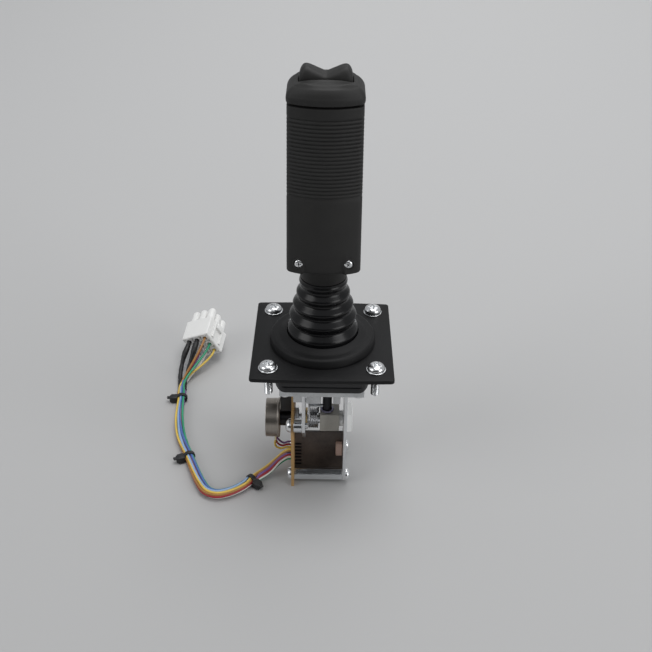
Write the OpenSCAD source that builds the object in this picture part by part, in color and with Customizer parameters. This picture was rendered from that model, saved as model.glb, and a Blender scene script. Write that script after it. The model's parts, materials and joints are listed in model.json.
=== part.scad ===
// Industrial joystick: a hand lever with a thumb rocker, on a square panel plate,
// with its pivot, sensor, boards and wiring harness below the panel.
// Frame: origin at the centre of the plate's underside, X right, Y away, Z up.

/* [Mounting plate] */
// Side of the square plate
plate_w = 76.2; // [72:0.1:90]
// Thickness of the plate
plate_t = 2.4; // [2:0.1:4]
// Distance between neighbouring screw holes
hole_pitch = 57.15; // [54:0.05:60]
// Diameter of the panel screws
screw_d = 4.8; // [4.2:0.1:5]
// How far the panel screws stand out below the plate
screw_reach = 13.5; // [8:0.5:20]
// Round mouth that the lever passes through
mouth_d = 42; // [38:1:44]

/* [Under the plate] */
// Width of the housing, left to right
housing_w = 51.6; // [50:0.1:53]
// Depth of the housing, front to back
housing_l = 50; // [46:0.5:53]
// Height of the housing
housing_h = 16; // [14:0.5:18]
// Wall of the housing
housing_wall = 3.2; // [2:0.1:3.4]
// Thickness of the cast base
casting_t = 5; // [4:0.5:6]
// Distance from the plate's underside down to the lever's pivot
pivot_drop = 53; // [51:0.5:56]
// Height of the whole part below the plate's underside
foot_drop = 90.4; // [89:0.2:96]

/* [Pivot and sensor] */
// Diameter of the pivot shaft
shaft_d = 6; // [5:0.5:7]
// Radial clearance of the running fits
run_gap = 0.04; // [0.02:0.01:0.08]
// Diameter of the sensor's can
can_d = 23.2; // [20:0.2:25]
// Length of the sensor's can
can_l = 8.1; // [7:0.1:10]
// Across the flats of the standoffs
standoff_af = 6.35; // [5.5:0.05:7]
// Thickness of the circuit boards
board_t = 1.6; // [1.2:0.1:2]

/* [Lever and grip] */
// Diameter of the lever's upper rod
rod_d = 8; // [7:0.5:9]
// Diameter of the lever's lower rod
tail_d = 5.5; // [5:0.25:6]
// Height of the grip's lower edge above the plate's underside
grip_z = 51.1; // [48:0.1:54]
// Length of the grip
grip_l = 88.9; // [84:0.1:100]
// Width of the grip at its lower end
grip_w = 38.4; // [37:0.1:42]
// How much narrower the grip is at its upper end
grip_taper = 1.6; // [0:0.2:3]
// Depth of the grip, front to back
grip_depth = 30; // [29:0.5:36]
// Radius of the grip's front and back faces
face_r = 39; // [34:1:60]
// Radius of the grip's four upright edges
edge_r = 4; // [3:0.2:6]
// Number of ribs
rib_n = 20; // [12:1:21]
// Distance from rib to rib
rib_pitch = 1.98; // [1.6:0.02:2.1]
// Depth of the grooves between the ribs
rib_depth = 0.6; // [0.3:0.1:1]
// Height of the cap, without the rocker
cap_h = 10.8; // [10.4:0.1:13]

/* [Thumb rocker] */
// Length of the rocker, left to right
rocker_l = 25.6; // [23:0.2:26]
// Width of the rocker, front to back
rocker_w = 12; // [11:0.5:14]
// Height of the rocker's lobes above the cap
lobe_h = 4.6; // [3:0.1:7]

/* [Boot] */
// Wall of the rubber boot
boot_wall = 1.6; // [1.2:0.1:2]
// Radius of the boot's lowest fold
fold_r = 19.6; // [19.4:0.1:20.4]
// Radius of the boot's collar
collar_r = 12.7; // [12.2:0.1:13.5]
// Radius of the round flange round the boot
flange_r = 28.2; // [27:0.1:30]
// Height of the round flange
flange_h = 5; // [4:0.1:6]

/* [Hidden] */
$fn = 64;

e = 0.01;
floor_z = -foot_drop;
pivot_z = -pivot_drop;
casting_top = -housing_h;
casting_low = -housing_h - casting_t;

// Panel screws and washers
head_d = 9.5;
head_h = 3;
washer_d = 10.5;
washer_t = 0.8;
hole_d = screw_d + 0.6;
shoulder = [0.2, 0.3];              // the plain shank is this much thicker, and ends below the plate

// Places across the mechanism, left to right
board_x = -15.7;                    // right face of the control board
board_left = board_x - board_t;
left_plate_x = -11;                 // left face of the left side plate
left_plate_t = 1.8;
right_plate_x = 12.8;               // left face of the right side plate
right_plate_t = 1.7;
right_face = right_plate_x + right_plate_t;
plate_front = -17;                  // front edge of the side plates
plate_rear = 17;
hub_x = [-0.9, 10.3];
hub_y = 5.5;
hub_top = 6.4;                      // above the pivot
hub_low = 5.4;                      // below the pivot
tail_x = 3.2;                       // the lower rod is cranked to the right of the upper one
crank_z = [-12, -8];
bush_r = 4.8;
bush_flange_r = 6;
nut_af = 12.7;
nut_t = 2.4;
can_x = -24.2;                      // right face of the can
block_t = 3.3;                      // the bearing block outside the right side plate

// Fasteners of the boards
spacer_yz = [-15.5, -46.6];
spacer_r = 4.1;
standoff_y = 13.2;
standoff_z = floor_z + 6;
m4 = 4;
m3 = 3;

// Boards
board_front = -18;
board_rear = 20;
board_top = -42.4;                  // of the front part
board_high = casting_low - 1.5;     // of the rear part
board_step = -5.8;                  // front edge of the rear part
cross_y = -1.8;
cross_top = pivot_z - 9.2;
cross_low = floor_z + 0.6;

// Grip and cap
grip_top = grip_z + grip_l;
neck_h = 7.7;                       // round neck below the grip
neck_r = 12.3;
cap_z = grip_top + 1.2;
cap_top = cap_z + cap_h;
cap_wall = 2;
rib_top = grip_top - 6;
core_r = 11.8;
core_block = [30, 22, 14];
nose_r = 10;
rod_top = grip_top - 20;
mouth_l = 14;                       // depth of the grip's open upper end
spigot_l = 8;                       // the cap reaches this far into it
grip_screw_x = 12.7;
grip_screw_z = grip_z + 6;
grip_face_y = sqrt(pow(face_r, 2) - pow(grip_screw_x, 2)) - (face_r - grip_depth / 2);
seat_y = grip_face_y - 1;           // where the grip screws' heads sit

// Rocker
rocker_z = cap_top - 2.6;           // its pin
rocker_pin_r = 1.1;
rocker_pin_l = rocker_w + 5;
pocket_low = cap_top - 6;
deck_t = 1.6;
plunger_x = 6.5;
plunger_r = 1.2;
switch_size = [23, 13, 12];

// Boot: each fold is a radius and a height above the plate's underside
plate_top = plate_t;
flange_top = plate_top + flange_h;
boot_top = grip_z - neck_h - 0.2;
boot_span = boot_top - flange_top;
folds = [[fold_r, 0.12], [fold_r - 2.9, 0.235], [fold_r - 0.9, 0.345], [fold_r - 4.2, 0.455],
    [fold_r - 2.8, 0.55], [fold_r - 6.2, 0.65], [fold_r - 4.8, 0.745], [collar_r - 1, 0.84]];
boot_foot_r = 25;
boot_inner = flange_r - 8.7;        // mouth of the flange

// Harness: the middle line of the bundle, from the board to where it parts
harness_r = 3;
harness_route = [[-17.3, -8, -74], [-19.8, -8, -74.3], [-23.4, -7.8, -77.4], [-27, -7.8, -81.6],
    [-31, -9, -85.2], [-35.8, -11.8, -87.2], [-41, -16.5, -87.4], [-46.5, -22.5, -87.4], [-53, -27, -87.4],
    [-60, -29, -87.4], [-66, -26.5, -87.4], [-70.5, -19.5, -87.4], [-75, -9.5, -87.4],
    [-80.5, 4.4, -87.4], [-84.6, 14, -87.4], [-88.2, 25, -87.4], [-91, 40, -87.4],
    [-92, 52, -87.4], [-92.5, 62, -87.4], [-93.5, 72, -87.4]];
tie_at = [6, 13, 18];
tie_side = [-1, 1, 1];
sleeve_r = 1.7;
left_route = [[-95.1, 72, -88.4], [-96.2, 80, -88.4], [-97, 87, -87.2], [-96.6, 93.5, -83.6],
    [-95.2, 98.5, -78.6], [-93.6, 102.6, -75.4], [-92.7, 107.5, -74]];
right_route = [[-92.2, 72, -88.4], [-93, 80, -88.4], [-92.6, 87, -87.2], [-91, 93, -82.4],
    [-89, 97.5, -76.4], [-87.7, 101.5, -72.8], [-87, 106.2, -71.4]];
wires_route = [[-93.4, 72, -85.8], [-91.5, 82, -86.6], [-88.5, 91, -86], [-86, 98, -82],
    [-84.9, 102.5, -78.6], [-84.2, 107.4, -77]];
lead_r = 1.6;
lead_route = [[-27.1, 0, -68.1], [-26.9, -0.2, -70.4], [-25.6, -0.6, -72.6], [-23, -1, -73.6],
    [-20, -1, -72.6], [-17.3, -1, -72.6]];
connector_at = [-84.2, 107.4, -76.8];
connector_turn = [14, -25, -7];     // pitch, roll and yaw as it lies
circuit_pitch = 6.35;
shell_w = 20.6;
shell_l = 17;
silo_l = 10;
silo_r = 2.9;
cavity_r = 2.3;
shell_face = 4;                     // wall between the cavities and the silos
contact_r = 1;

// ---------- helpers ----------

module at_corners(pitch) {
    for (x = [-1, 1], y = [-1, 1]) translate([x * pitch / 2, y * pitch / 2, 0]) children();
}

// Along +X from x0 to x1
module rod_x(x0, x1, r, y = 0, z = 0) {
    translate([x0, y, z]) rotate([0, 90, 0]) cylinder(h = x1 - x0, r = r);
}

// A pan head screw with a cross recess: seat at z = 0, shank down
module pan_screw(hd, hh, sd, len) {
    difference() {
        union() {
            rotate_extrude() polygon([[0, 0], [hd / 2 - 0.25, 0], [hd / 2, 0.25], [hd / 2, hh * 0.4],
                [hd * 0.46, hh * 0.68], [hd * 0.37, hh * 0.88], [hd * 0.24, hh * 0.97], [0, hh]]);
            translate([0, 0, -len]) cylinder(h = len + e, d = sd);
        }
        for (a = [0, 90]) rotate(a) translate([-hd * 0.28, -hd * 0.07, hh * 0.42])
            cube([hd * 0.56, hd * 0.14, hh]);
    }
}

function unit(v) = v / norm(v);
function along(p, i) = unit(p[min(i + 1, len(p) - 1)] - p[max(i - 1, 0)]);

// One tube of radius r through the points p; ref is never along the tube
module tube(p, r, sides, ref = [0, 0, 1]) {
    n = len(p);
    points = [for (i = [0:n - 1]) let (t = along(p, i), u = unit(cross(ref, t)), v = cross(t, u))
        for (k = [0:sides - 1]) p[i] + r * (cos(360 * k / sides) * u + sin(360 * k / sides) * v)];
    faces = concat([[for (k = [0:sides - 1]) k]],
        [for (i = [0:n - 2], k = [0:sides - 1]) [i * sides + k, (i + 1) * sides + k,
            (i + 1) * sides + (k + 1) % sides, i * sides + (k + 1) % sides]],
        [[for (k = [sides - 1:-1:0]) (n - 1) * sides + k]]);
    polyhedron(points, faces);
}

// ---------- on and under the plate ----------

module mounting_plate() {
    color("#1d1d1d") difference() {
        linear_extrude(plate_t) difference() {
            square(plate_w, center = true);
            at_corners(2 * plate_w) rotate(45) square(plate_w * sqrt(2) + 2.4, center = true);
        }
        translate([0, 0, -e]) cylinder(h = plate_t + 2 * e, d = mouth_d);
        at_corners(hole_pitch) translate([0, 0, -e]) cylinder(h = plate_t + 2 * e, d = hole_d);
    }
}

module panel_screws() {
    color("#d5d7d8") at_corners(hole_pitch) {
        translate([0, 0, plate_top + washer_t])
            pan_screw(head_d, head_h, screw_d, plate_t + washer_t + screw_reach);
        translate([0, 0, -shoulder[1]])
            cylinder(h = plate_top + washer_t + shoulder[1] + e, d = screw_d + 2 * shoulder[0]);
    }
}

module panel_washers() {
    color("#c4c6c8") at_corners(hole_pitch) translate([0, 0, plate_top]) difference() {
        cylinder(h = washer_t, d = washer_d);
        translate([0, 0, -e]) cylinder(h = washer_t + 2 * e, d = hole_d);
    }
}

module boot_flange() {
    foot_gap = 0.1;
    color("#222222") translate([0, 0, plate_top]) rotate_extrude() polygon([
        [boot_foot_r + foot_gap, 0], [flange_r + 1.8, 0], [flange_r + 1.5, flange_h * 0.4],
        [flange_r + 0.3, flange_h - 0.5], [flange_r - 0.5, flange_h],
        [boot_inner, flange_h], [boot_inner, 2], [boot_foot_r + foot_gap, 2]]);
}

// Height of a fold's crest or root above the plate's underside
function fold_z(i) = flange_top + folds[i][1] * boot_span;
// The boot's outline eases from each crest to the next root and back
function ease(t) = (1 - cos(180 * t)) / 2;
boot_line = [for (i = [0:len(folds) - 2], k = [0:5]) let (t = k / 6)
    [folds[i][0] + (folds[i + 1][0] - folds[i][0]) * ease(t), fold_z(i) + (fold_z(i + 1) - fold_z(i)) * t]];
collar_low = fold_z(7) + 1.6;

module bellows_boot() {
    outer = concat([[boot_inner - 0.1, plate_top + 2], [boot_inner - 0.1, flange_top]], boot_line,
        [[collar_r - 1, fold_z(7)], [collar_r, collar_low], [collar_r, boot_top - 0.6],
        [collar_r - 0.6, boot_top]]);
    n = len(outer);
    inner = [for (i = [n - 4:-1:0]) outer[i] - [boot_wall, 0]];
    color("#1b1b1c") rotate_extrude() polygon(concat(
        [[boot_foot_r, plate_top], [boot_foot_r, plate_top + 2]], outer,
        [[nose_r + 0.3, boot_top], [nose_r + 0.3, collar_low]], inner,
        [[boot_inner - 0.1 - boot_wall, plate_top]]));
}

module housing_outline(w, l, h) {
    corner = 6;
    intersection() {
        translate([0, 0, -h]) linear_extrude(h) hull()
            for (x = [-1, 1], y = [-1, 1])
                translate([x * (w / 2 - corner), y * (l / 2 - corner)]) circle(corner);
        rotate([90, 0, 0]) linear_extrude(l, center = true) difference() {
            translate([-w / 2, -h]) square([w, h]);
            for (s = [-1, 1]) translate([s * w / 2, -h]) difference() {
                square(2 * corner, center = true);
                translate([-s * corner, corner]) circle(corner);
            }
        }
    }
}

module housing() {
    groove = 0.5;
    inner = [housing_w - 2 * housing_wall, housing_l - 2 * housing_wall];
    post = [12, 11];
    color("#1a1a1b") difference() {
        housing_outline(housing_w, housing_l, housing_h);
        difference() {
            translate([-inner[0] / 2, -inner[1] / 2, -housing_h - e])
                cube([inner[0], inner[1], housing_h + 2 * e]);
            for (x = [-1, 1], y = [-1, 1])
                translate([x * inner[0] / 2, y * inner[1] / 2, -housing_h / 2])
                    cube([post[0], post[1], housing_h + 1], center = true);
        }
        at_casting_screws() cylinder(h = casting_screw_l + 1, d = m3 + 2 * run_gap);
        for (s = [-1, 1]) translate([-housing_w / 2, s * housing_l / 2 - groove, -housing_h * 0.8])
            cube([housing_w, 2 * groove, 0.8]);
    }
}

module at_casting_screws() {
    for (x = [-1, 1], y = [-1, 1]) translate([x * casting_screw[0], y * casting_screw[1], casting_low])
        children();
}

casting_w = 46.6;
casting_l = 44;
lug_t = 5.5;
slot = [13, 27];
boss_x = [[-8.4, -0.2], [6.4, 10.4]];   // two bosses beside the slot, front and rear
boss_y = 18;
boss_l = 6;
casting_screw = [20.2, 18.6];
casting_screw_l = 12;
lug_mid = casting_low - lug_t / 2;
side_screw_y = [-10, 10];
bracket_screw_x = 19.2;
blind_hole = 4;
m3_head = [5.6, 2];
module base_casting() {
    color("#b9bcbd") difference() {
        union() {
            translate([-casting_w / 2, -casting_l / 2, casting_low]) cube([casting_w, casting_l, casting_t]);
            translate([board_x, plate_front - 3, casting_low - lug_t])
                cube([left_plate_x - board_x, plate_rear - plate_front + 6, lug_t + e]);
            for (x = boss_x, s = [-1, 1]) translate([x[0], s * boss_y - boss_l / 2, casting_low - lug_t])
                cube([x[1] - x[0], boss_l, lug_t + e]);
        }
        translate([tail_x - slot[0] / 2, -slot[1] / 2, casting_low - lug_t - e])
            cube([slot[0], slot[1], casting_t + lug_t + 2 * e]);
        at_casting_screws() translate([0, 0, -e]) cylinder(h = casting_t + 2 * e, d = m3 + 2 * run_gap);
        for (y = side_screw_y) rod_x(board_x - e, left_plate_x + e, m3 / 2 + run_gap, y, lug_mid);
        for (y = side_screw_y) translate([bracket_screw_x, y, casting_low - e])
            cylinder(h = blind_hole, d = m3 + 2 * run_gap);
    }
}

// Four screws hold the casting up against the posts in the housing's corners
module casting_screws() {
    color("#c9ccce") at_casting_screws() rotate([180, 0, 0]) pan_screw(5.4, 2.1, m3, casting_screw_l);
}

// ---------- side plates, standoffs and boards ----------

module plate_profile(front, rear, top, points) {
    polygon(concat([[rear, top], [front, top]], points));
}

// Draws a Y-Z outline as a plate from x to x + t
module yz_plate(x, t) {
    translate([x, 0, 0]) rotate([90, 0, 90]) linear_extrude(t) children();
}

module left_side_plate() {
    color("#c8cbcd") difference() {
        yz_plate(left_plate_x, left_plate_t) plate_profile(plate_front - 3, plate_rear, casting_low,
            [[plate_front - 3, spacer_yz[1] - 1.6], [plate_front, spacer_yz[1] - 4.4], [-8, pivot_z - 8],
            [8, pivot_z - 8], [plate_rear, pivot_z + 4]]);
        rod_x(left_plate_x - e, left_plate_x + left_plate_t + e, bush_r, 0, pivot_z);
        rod_x(left_plate_x - e, left_plate_x + left_plate_t + e, m4 / 2 + run_gap,
            spacer_yz[0], spacer_yz[1]);
        for (y = side_screw_y)
            rod_x(left_plate_x - e, left_plate_x + left_plate_t + e, m3 / 2 + run_gap, y, lug_mid);
        rod_x(left_plate_x - e, left_plate_x + left_plate_t + e, 1.2, 0, anchor_z);
    }
}

bracket_w = 8.8;
bracket_l = 28;
module right_side_plate() {
    foot_y = -3;
    foot_rise = 4.8;                // the front of the plate stays clear of the floor
    color("#cfd2d4") difference() {
        union() {
            yz_plate(right_plate_x, right_plate_t) plate_profile(plate_front, plate_rear, casting_low,
                [[plate_front, floor_z + foot_rise], [foot_y - 4, floor_z + foot_rise], [foot_y, floor_z],
                [plate_rear, floor_z]]);
            translate([right_plate_x, -bracket_l / 2, casting_low - right_plate_t])
                cube([bracket_w, bracket_l, right_plate_t]);
        }
        rod_x(right_plate_x - e, right_face + e, 4, 0, pivot_z);
        for (y = [-1, 1])
            rod_x(right_plate_x - e, right_face + e, m4 / 2 + run_gap, y * standoff_y, standoff_z);
        for (y = side_screw_y) translate([bracket_screw_x, y, casting_low - right_plate_t - 1])
            cylinder(h = blind_hole, d = m3 + 2 * run_gap);
    }
}

// Two screws hold each side plate to the casting
module side_plate_screws() {
    color("#c9ccce") {
        for (y = side_screw_y) translate([left_plate_x + left_plate_t, y, lug_mid])
            rotate([0, 90, 0]) pan_screw(m3_head[0], m3_head[1], m3, left_plate_t + 4);
        for (y = side_screw_y) translate([bracket_screw_x, y, casting_low - right_plate_t])
            rotate([180, 0, 0]) pan_screw(m3_head[0], m3_head[1], m3, right_plate_t + blind_hole - 0.6);
    }
}

module standoff(y) {
    color("#aeb4b8") difference() {
        translate([board_x, y, standoff_z]) rotate([0, 90, 0])
            cylinder(h = right_plate_x - board_x, d = standoff_af / cos(30), $fn = 6);
        for (x = [board_x - e, right_plate_x - 8])
            rod_x(x, x + 8 + e, m4 / 2 + run_gap, y, standoff_z);
    }
}

module front_standoff() { standoff(-standoff_y); }
module rear_standoff() { standoff(standoff_y); }

module standoff_screws() {
    color("#d5d7d8") for (y = [-standoff_y, standoff_y]) {
        translate([board_left, y, standoff_z]) rotate([0, -90, 0]) pan_screw(7.4, 2.8, m4, board_t + 7);
        translate([right_face, y, standoff_z]) rotate([0, 90, 0]) pan_screw(7.4, 2.8, m4, right_plate_t + 7);
    }
}

// The round spacers carry the top of the control board on the left side plate
module board_spacers() {
    color("#d0d3d4") difference() {
        rod_x(board_x, left_plate_x, spacer_r, spacer_yz[0], spacer_yz[1]);
        rod_x(board_x - e, left_plate_x + e, m4 / 2 + run_gap, spacer_yz[0], spacer_yz[1]);
    }
}

module board_screws() {
    color("#d5d7d8") translate([board_left, spacer_yz[0], spacer_yz[1]]) rotate([0, -90, 0])
        pan_screw(8, 3, m4, left_plate_x + left_plate_t - board_left + 1.6);
}

module control_board() {
    color("#b58a4e") difference() {
        yz_plate(board_left, board_t) polygon([[board_rear, board_high], [board_step, board_high],
            [board_step, board_top], [board_front, board_top], [board_front, floor_z],
            [board_rear, floor_z]]);
        rod_x(board_left - e, board_x + e, bush_r + run_gap, 0, pivot_z);
        rod_x(board_left - e, board_x + e, m4 / 2 + run_gap, spacer_yz[0], spacer_yz[1]);
        for (y = [-1, 1]) rod_x(board_left - e, board_x + e, m4 / 2 + run_gap, y * standoff_y, standoff_z);
    }
}

module cross_board() {
    color("#4a3f3a") translate([board_x, cross_y, cross_low])
        cube([right_plate_x - board_x, board_t, cross_top - cross_low]);
}

module terminal_block() {
    block = [6.4, 13, 8.4];
    rear = 7.4;
    way_pitch = 4.1;
    color("#231d1b") translate([board_left - block[0], rear - block[1], pivot_z + 9.6]) difference() {
        cube(block);
        for (k = [-1:1]) translate([block[0] - 3.4, block[1] / 2 + k * way_pitch, block[2] / 2])
            cylinder(h = block[2], d = 2.6);
    }
}

module film_capacitor() {
    body = [4, 3.4, 9];
    color("#c7a291") translate([right_plate_x - 0.2 - body[0], cross_y - body[1], cross_low + 12]) cube(body);
}

// Small packages on the right face of the control board and behind the cross board
module chip_set() {
    amplifier = [1.6, 8, 5];
    controller = [10, 1.8, 6];
    regulator = [4, 1.4, 3];
    color("#191919") {
        for (z = [12, 21]) translate([board_x, 4, floor_z + z]) cube(amplifier);
        translate([-4, cross_y + board_t, cross_low + 8]) cube(controller);
        translate([6, cross_y + board_t, cross_low + 17]) cube(regulator);
    }
}

// The pins that join the cross board to the control board
module header_pins() {
    pitch = 2.54;
    pin = [4, 0.7, 0.7];
    color("#c9b27a") for (k = [0:6])
        translate([board_x, cross_y - pin[1], cross_low + 3 + pitch * k]) cube(pin);
}

// ---------- pivot, sensor and spring ----------

module sensor_can() {
    color("#7d746a") difference() {
        rod_x(can_x - can_l, can_x, can_d / 2, 0, pivot_z);
        rod_x(can_x - can_l - e, can_x - 1, can_d / 2 - 1, 0, pivot_z);
        rod_x(can_x - 2, can_x + e, bush_r, 0, pivot_z);
    }
}

module sensor_back() {
    color("#8b8379") rod_x(can_x - can_l, can_x - can_l + 1, can_d / 2 - 1, 0, pivot_z);
}

module sensor_bush() {
    color("#d0d2d2") difference() {
        rod_x(can_x - 2.2, board_x + nut_t + 0.2, bush_r, 0, pivot_z);
        rod_x(can_x - 3, board_x + nut_t + 1, shaft_d / 2 + run_gap, 0, pivot_z);
    }
}

module sensor_nut() {
    color("#cfd1d2") difference() {
        translate([board_x, 0, pivot_z]) rotate([0, 90, 0])
            cylinder(h = nut_t, d = nut_af / cos(30), $fn = 6);
        rod_x(board_x - e, board_x + nut_t + e, bush_r + run_gap, 0, pivot_z);
    }
}

track_x = can_x - can_l + 1;
module sensor_track() {
    color("#2c2320") difference() {
        rod_x(track_x, track_x + 1, can_d / 2 - 1.2, 0, pivot_z);
        rod_x(track_x - e, track_x + 1 + e, 5, 0, pivot_z);
    }
}

// Three solder tags stand out of the bottom of the can
module sensor_terminals() {
    tag = [1, 0.6, 4];
    color("#d8d4c4") for (y = [-3, 0, 3])
        translate([can_x - 3.4, y - 0.3, pivot_z - sqrt(pow(can_d / 2, 2) - pow(y, 2)) - tag[2] + 0.6])
            cube([tag[0], tag[1], tag[2]]);
}

module left_bush() {
    color("#b08d4f") difference() {
        union() {
            rod_x(left_plate_x, left_plate_x + left_plate_t, bush_r, 0, pivot_z);
            rod_x(left_plate_x + left_plate_t, left_plate_x + left_plate_t + 1, bush_flange_r, 0, pivot_z);
        }
        rod_x(left_plate_x - e, left_plate_x + left_plate_t + 1 + e, shaft_d / 2 + run_gap, 0, pivot_z);
    }
}

module bearing_block() {
    half = 6.3;
    color("#f0f0ec") difference() {
        union() {
            translate([right_face, -half, pivot_z - half + 1.2]) cube([block_t, 2 * half, 2 * half]);
            rod_x(right_plate_x, right_face + e, 4, 0, pivot_z);
        }
        rod_x(right_plate_x - e, right_face + block_t + e, shaft_d / 2 + run_gap, 0, pivot_z);
    }
}

anchor_z = pivot_z + 13;
pin_r = 1.2;
module spring_anchor() {
    color("#d5d7d8") rod_x(left_plate_x, -0.6, pin_r, 0, anchor_z);
}

dog_z = pivot_z + 9.2;
module spring_dog() {
    color("#c9ccce") rod_x(-7.6, tail_x, pin_r, 0, dog_z);
}

// A torsion spring round the shaft: both legs rise past the dog and the anchor
spring_wire = 0.55;
spring_r = 5.4;
spring_turns = 4;
spring_x = [-7.2, -2];
leg_y = pin_r + spring_wire + 0.05;
function spring_point(a) = [spring_x[0] + (spring_x[1] - spring_x[0]) * a / (360 * spring_turns + 180),
    -spring_r * cos(a), pivot_z - spring_r * sin(a)];
module centring_spring() {
    steps = 20;
    coil = [for (a = [0:360 / steps:360 * spring_turns + 180]) spring_point(a)];
    left_leg = [[spring_x[0], -leg_y, anchor_z + 2], [spring_x[0], -leg_y, dog_z + 0.6],
        [spring_x[0], -leg_y - 1.6, dog_z - 3], [spring_x[0], -spring_r, pivot_z + 2.2]];
    right_leg = [[spring_x[1], spring_r, pivot_z + 2.2], [spring_x[1], leg_y + 1.6, dog_z - 3],
        [spring_x[1], leg_y, dog_z + 0.6], [spring_x[1], leg_y, anchor_z + 2]];
    color("#6b6f72") tube(concat(left_leg, coil, right_leg), spring_wire, 6, [1, 0, 0]);
}

module pivot_shaft() {
    color("#d5d8da") difference() {
        rod_x(track_x + 1.6, right_face + block_t - 0.4, shaft_d / 2, 0, pivot_z);
        translate([tail_x, 0, pivot_z]) cylinder(h = shaft_d, d = tail_d, $fn = 48);
    }
}

module sensor_wiper() {
    color("#8a6a3a") difference() {
        union() {
            rod_x(track_x + 1.6, track_x + 3.2, 5.6, 0, pivot_z);
            translate([track_x + 1.6, -1.2, pivot_z]) cube([0.6, 2.4, can_d / 2 - 2]);
        }
        rod_x(track_x, track_x + 4, shaft_d / 2, 0, pivot_z);
    }
}

module lever_hub() {
    foot = [5.2, 6, 1.6];
    color("#b7b2a6") difference() {
        union() {
            translate([hub_x[0], -hub_y, pivot_z - hub_low])
                cube([hub_x[1] - hub_x[0], 2 * hub_y, hub_top + hub_low]);
            translate([hub_x[0] + 2.4, -foot[1] / 2, pivot_z - hub_low - foot[2]]) cube(foot + [0, 0, e]);
        }
        rod_x(hub_x[0] - e, hub_x[1] + e, shaft_d / 2, 0, pivot_z);
        translate([tail_x, 0, pivot_z]) cylinder(h = hub_top + e, d = tail_d);
    }
}

module thrust_washers() {
    color("#e8e8e4") for (x = [[hub_x[1], right_plate_x - 0.3]]) difference() {
        rod_x(x[0], x[1], 4.6, 0, pivot_z);
        rod_x(x[0] - e, x[1] + e, shaft_d / 2, 0, pivot_z);
    }
}

module lever_tail() {
    color("#1c1c1d") difference() {
        translate([tail_x, 0, pivot_z]) cylinder(h = crank_z[0] - pivot_z, d = tail_d);
        rod_x(tail_x - tail_d, tail_x, pin_r, 0, dog_z);
    }
}

module tail_clip() {
    color("#cfcfe0") translate([tail_x, 0, pivot_z + hub_top]) difference() {
        cylinder(h = 1, r = tail_d / 2 + 1.1);
        translate([0, 0, -e]) cylinder(h = 1 + 2 * e, d = tail_d);
    }
}

module lever_rod() {
    crank = [15, 11];
    color("#2a2a2b") {
        translate([0, 0, crank_z[1]]) cylinder(h = rod_top - crank_z[1], d = rod_d);
        translate([tail_x / 2 - crank[0] / 2, -crank[1] / 2, crank_z[0]])
            cube([crank[0], crank[1], crank_z[1] - crank_z[0]]);
    }
}

// ---------- grip ----------

// Cross-section: curved front and back, flat sides, rounded upright edges
function arc(centre, r, from, to, n) = [for (k = [0:n]) let (a = from + (to - from) * k / n)
    centre + r * [cos(a), sin(a)]];

module grip_section(inset, w = grip_w) {
    r = max(edge_r - inset, 0.3);
    x = w / 2 - inset - r;
    reach = face_r - inset - r;
    shift = face_r - grip_depth / 2;
    y = sqrt(reach * reach - x * x) - shift;
    lean = asin(x / reach);
    rear = concat(arc([x, y], r, 0, 90 - lean, 5),
        arc([0, -shift], face_r - inset, 90 - lean * 6 / 7, 90 + lean * 6 / 7, 12),
        arc([-x, y], r, 90 + lean, 180, 5));
    polygon(concat(rear, [for (q = rear) -q]));
}

// The tapered sides
module grip_wedge(inset) {
    low = grip_w / 2 - inset;
    high = low - grip_taper / 2;
    rotate([90, 0, 0]) linear_extrude(2 * grip_depth, center = true)
        polygon([[-low, grip_z - neck_h], [low, grip_z - neck_h], [low, grip_z], [high, grip_top],
            [-high, grip_top], [-low, grip_z]]);
}

module grip_outer() {
    rib_low = rib_top - rib_n * rib_pitch;
    intersection() {
        translate([0, 0, grip_z - neck_h]) linear_extrude(grip_l + neck_h) grip_section(rib_depth);
        grip_wedge(rib_depth);
        neck_and_above();
    }
    intersection() {
        union() {
            translate([0, 0, grip_z - neck_h]) linear_extrude(rib_low - grip_z + neck_h) grip_section(0);
            translate([0, 0, rib_top]) linear_extrude(grip_top - rib_top) grip_section(0);
            for (k = [0:rib_n - 1]) translate([0, 0, rib_low + (k + 0.45) * rib_pitch])
                linear_extrude(rib_pitch * 0.55) grip_section(0);
        }
        grip_wedge(0);
        neck_and_above();
    }
}

module neck_and_above() {
    translate([0, 0, grip_z - neck_h]) cylinder(h = neck_h + e, r = neck_r);
    translate([0, 0, grip_z]) cylinder(h = grip_l + 1, r = grip_w);
}

module grip() {
    color("#1f1f20") difference() {
        grip_outer();
        translate([0, 0, grip_z - neck_h - e]) cylinder(h = neck_h + 1, r = nose_r);
        translate([-core_block[0] / 2, -core_block[1] / 2, grip_z + 0.6]) cube(core_block);
        translate([0, 0, grip_z + 0.6]) cylinder(h = rod_top + 2 - grip_z, r = core_r);
        translate([0, 0, grip_top - mouth_l]) linear_extrude(mouth_l + e)
            grip_section(cap_wall + 0.5, grip_w - grip_taper);
        for (x = [-1, 1], s = [-1, 1]) translate([x * grip_screw_x, 0, grip_screw_z]) rotate([90 * s, 0, 0]) {
            cylinder(h = grip_depth, d = m3 + 2 * run_gap);
            translate([0, 0, seat_y]) cylinder(h = grip_depth, r = 3);
        }
    }
}

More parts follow.
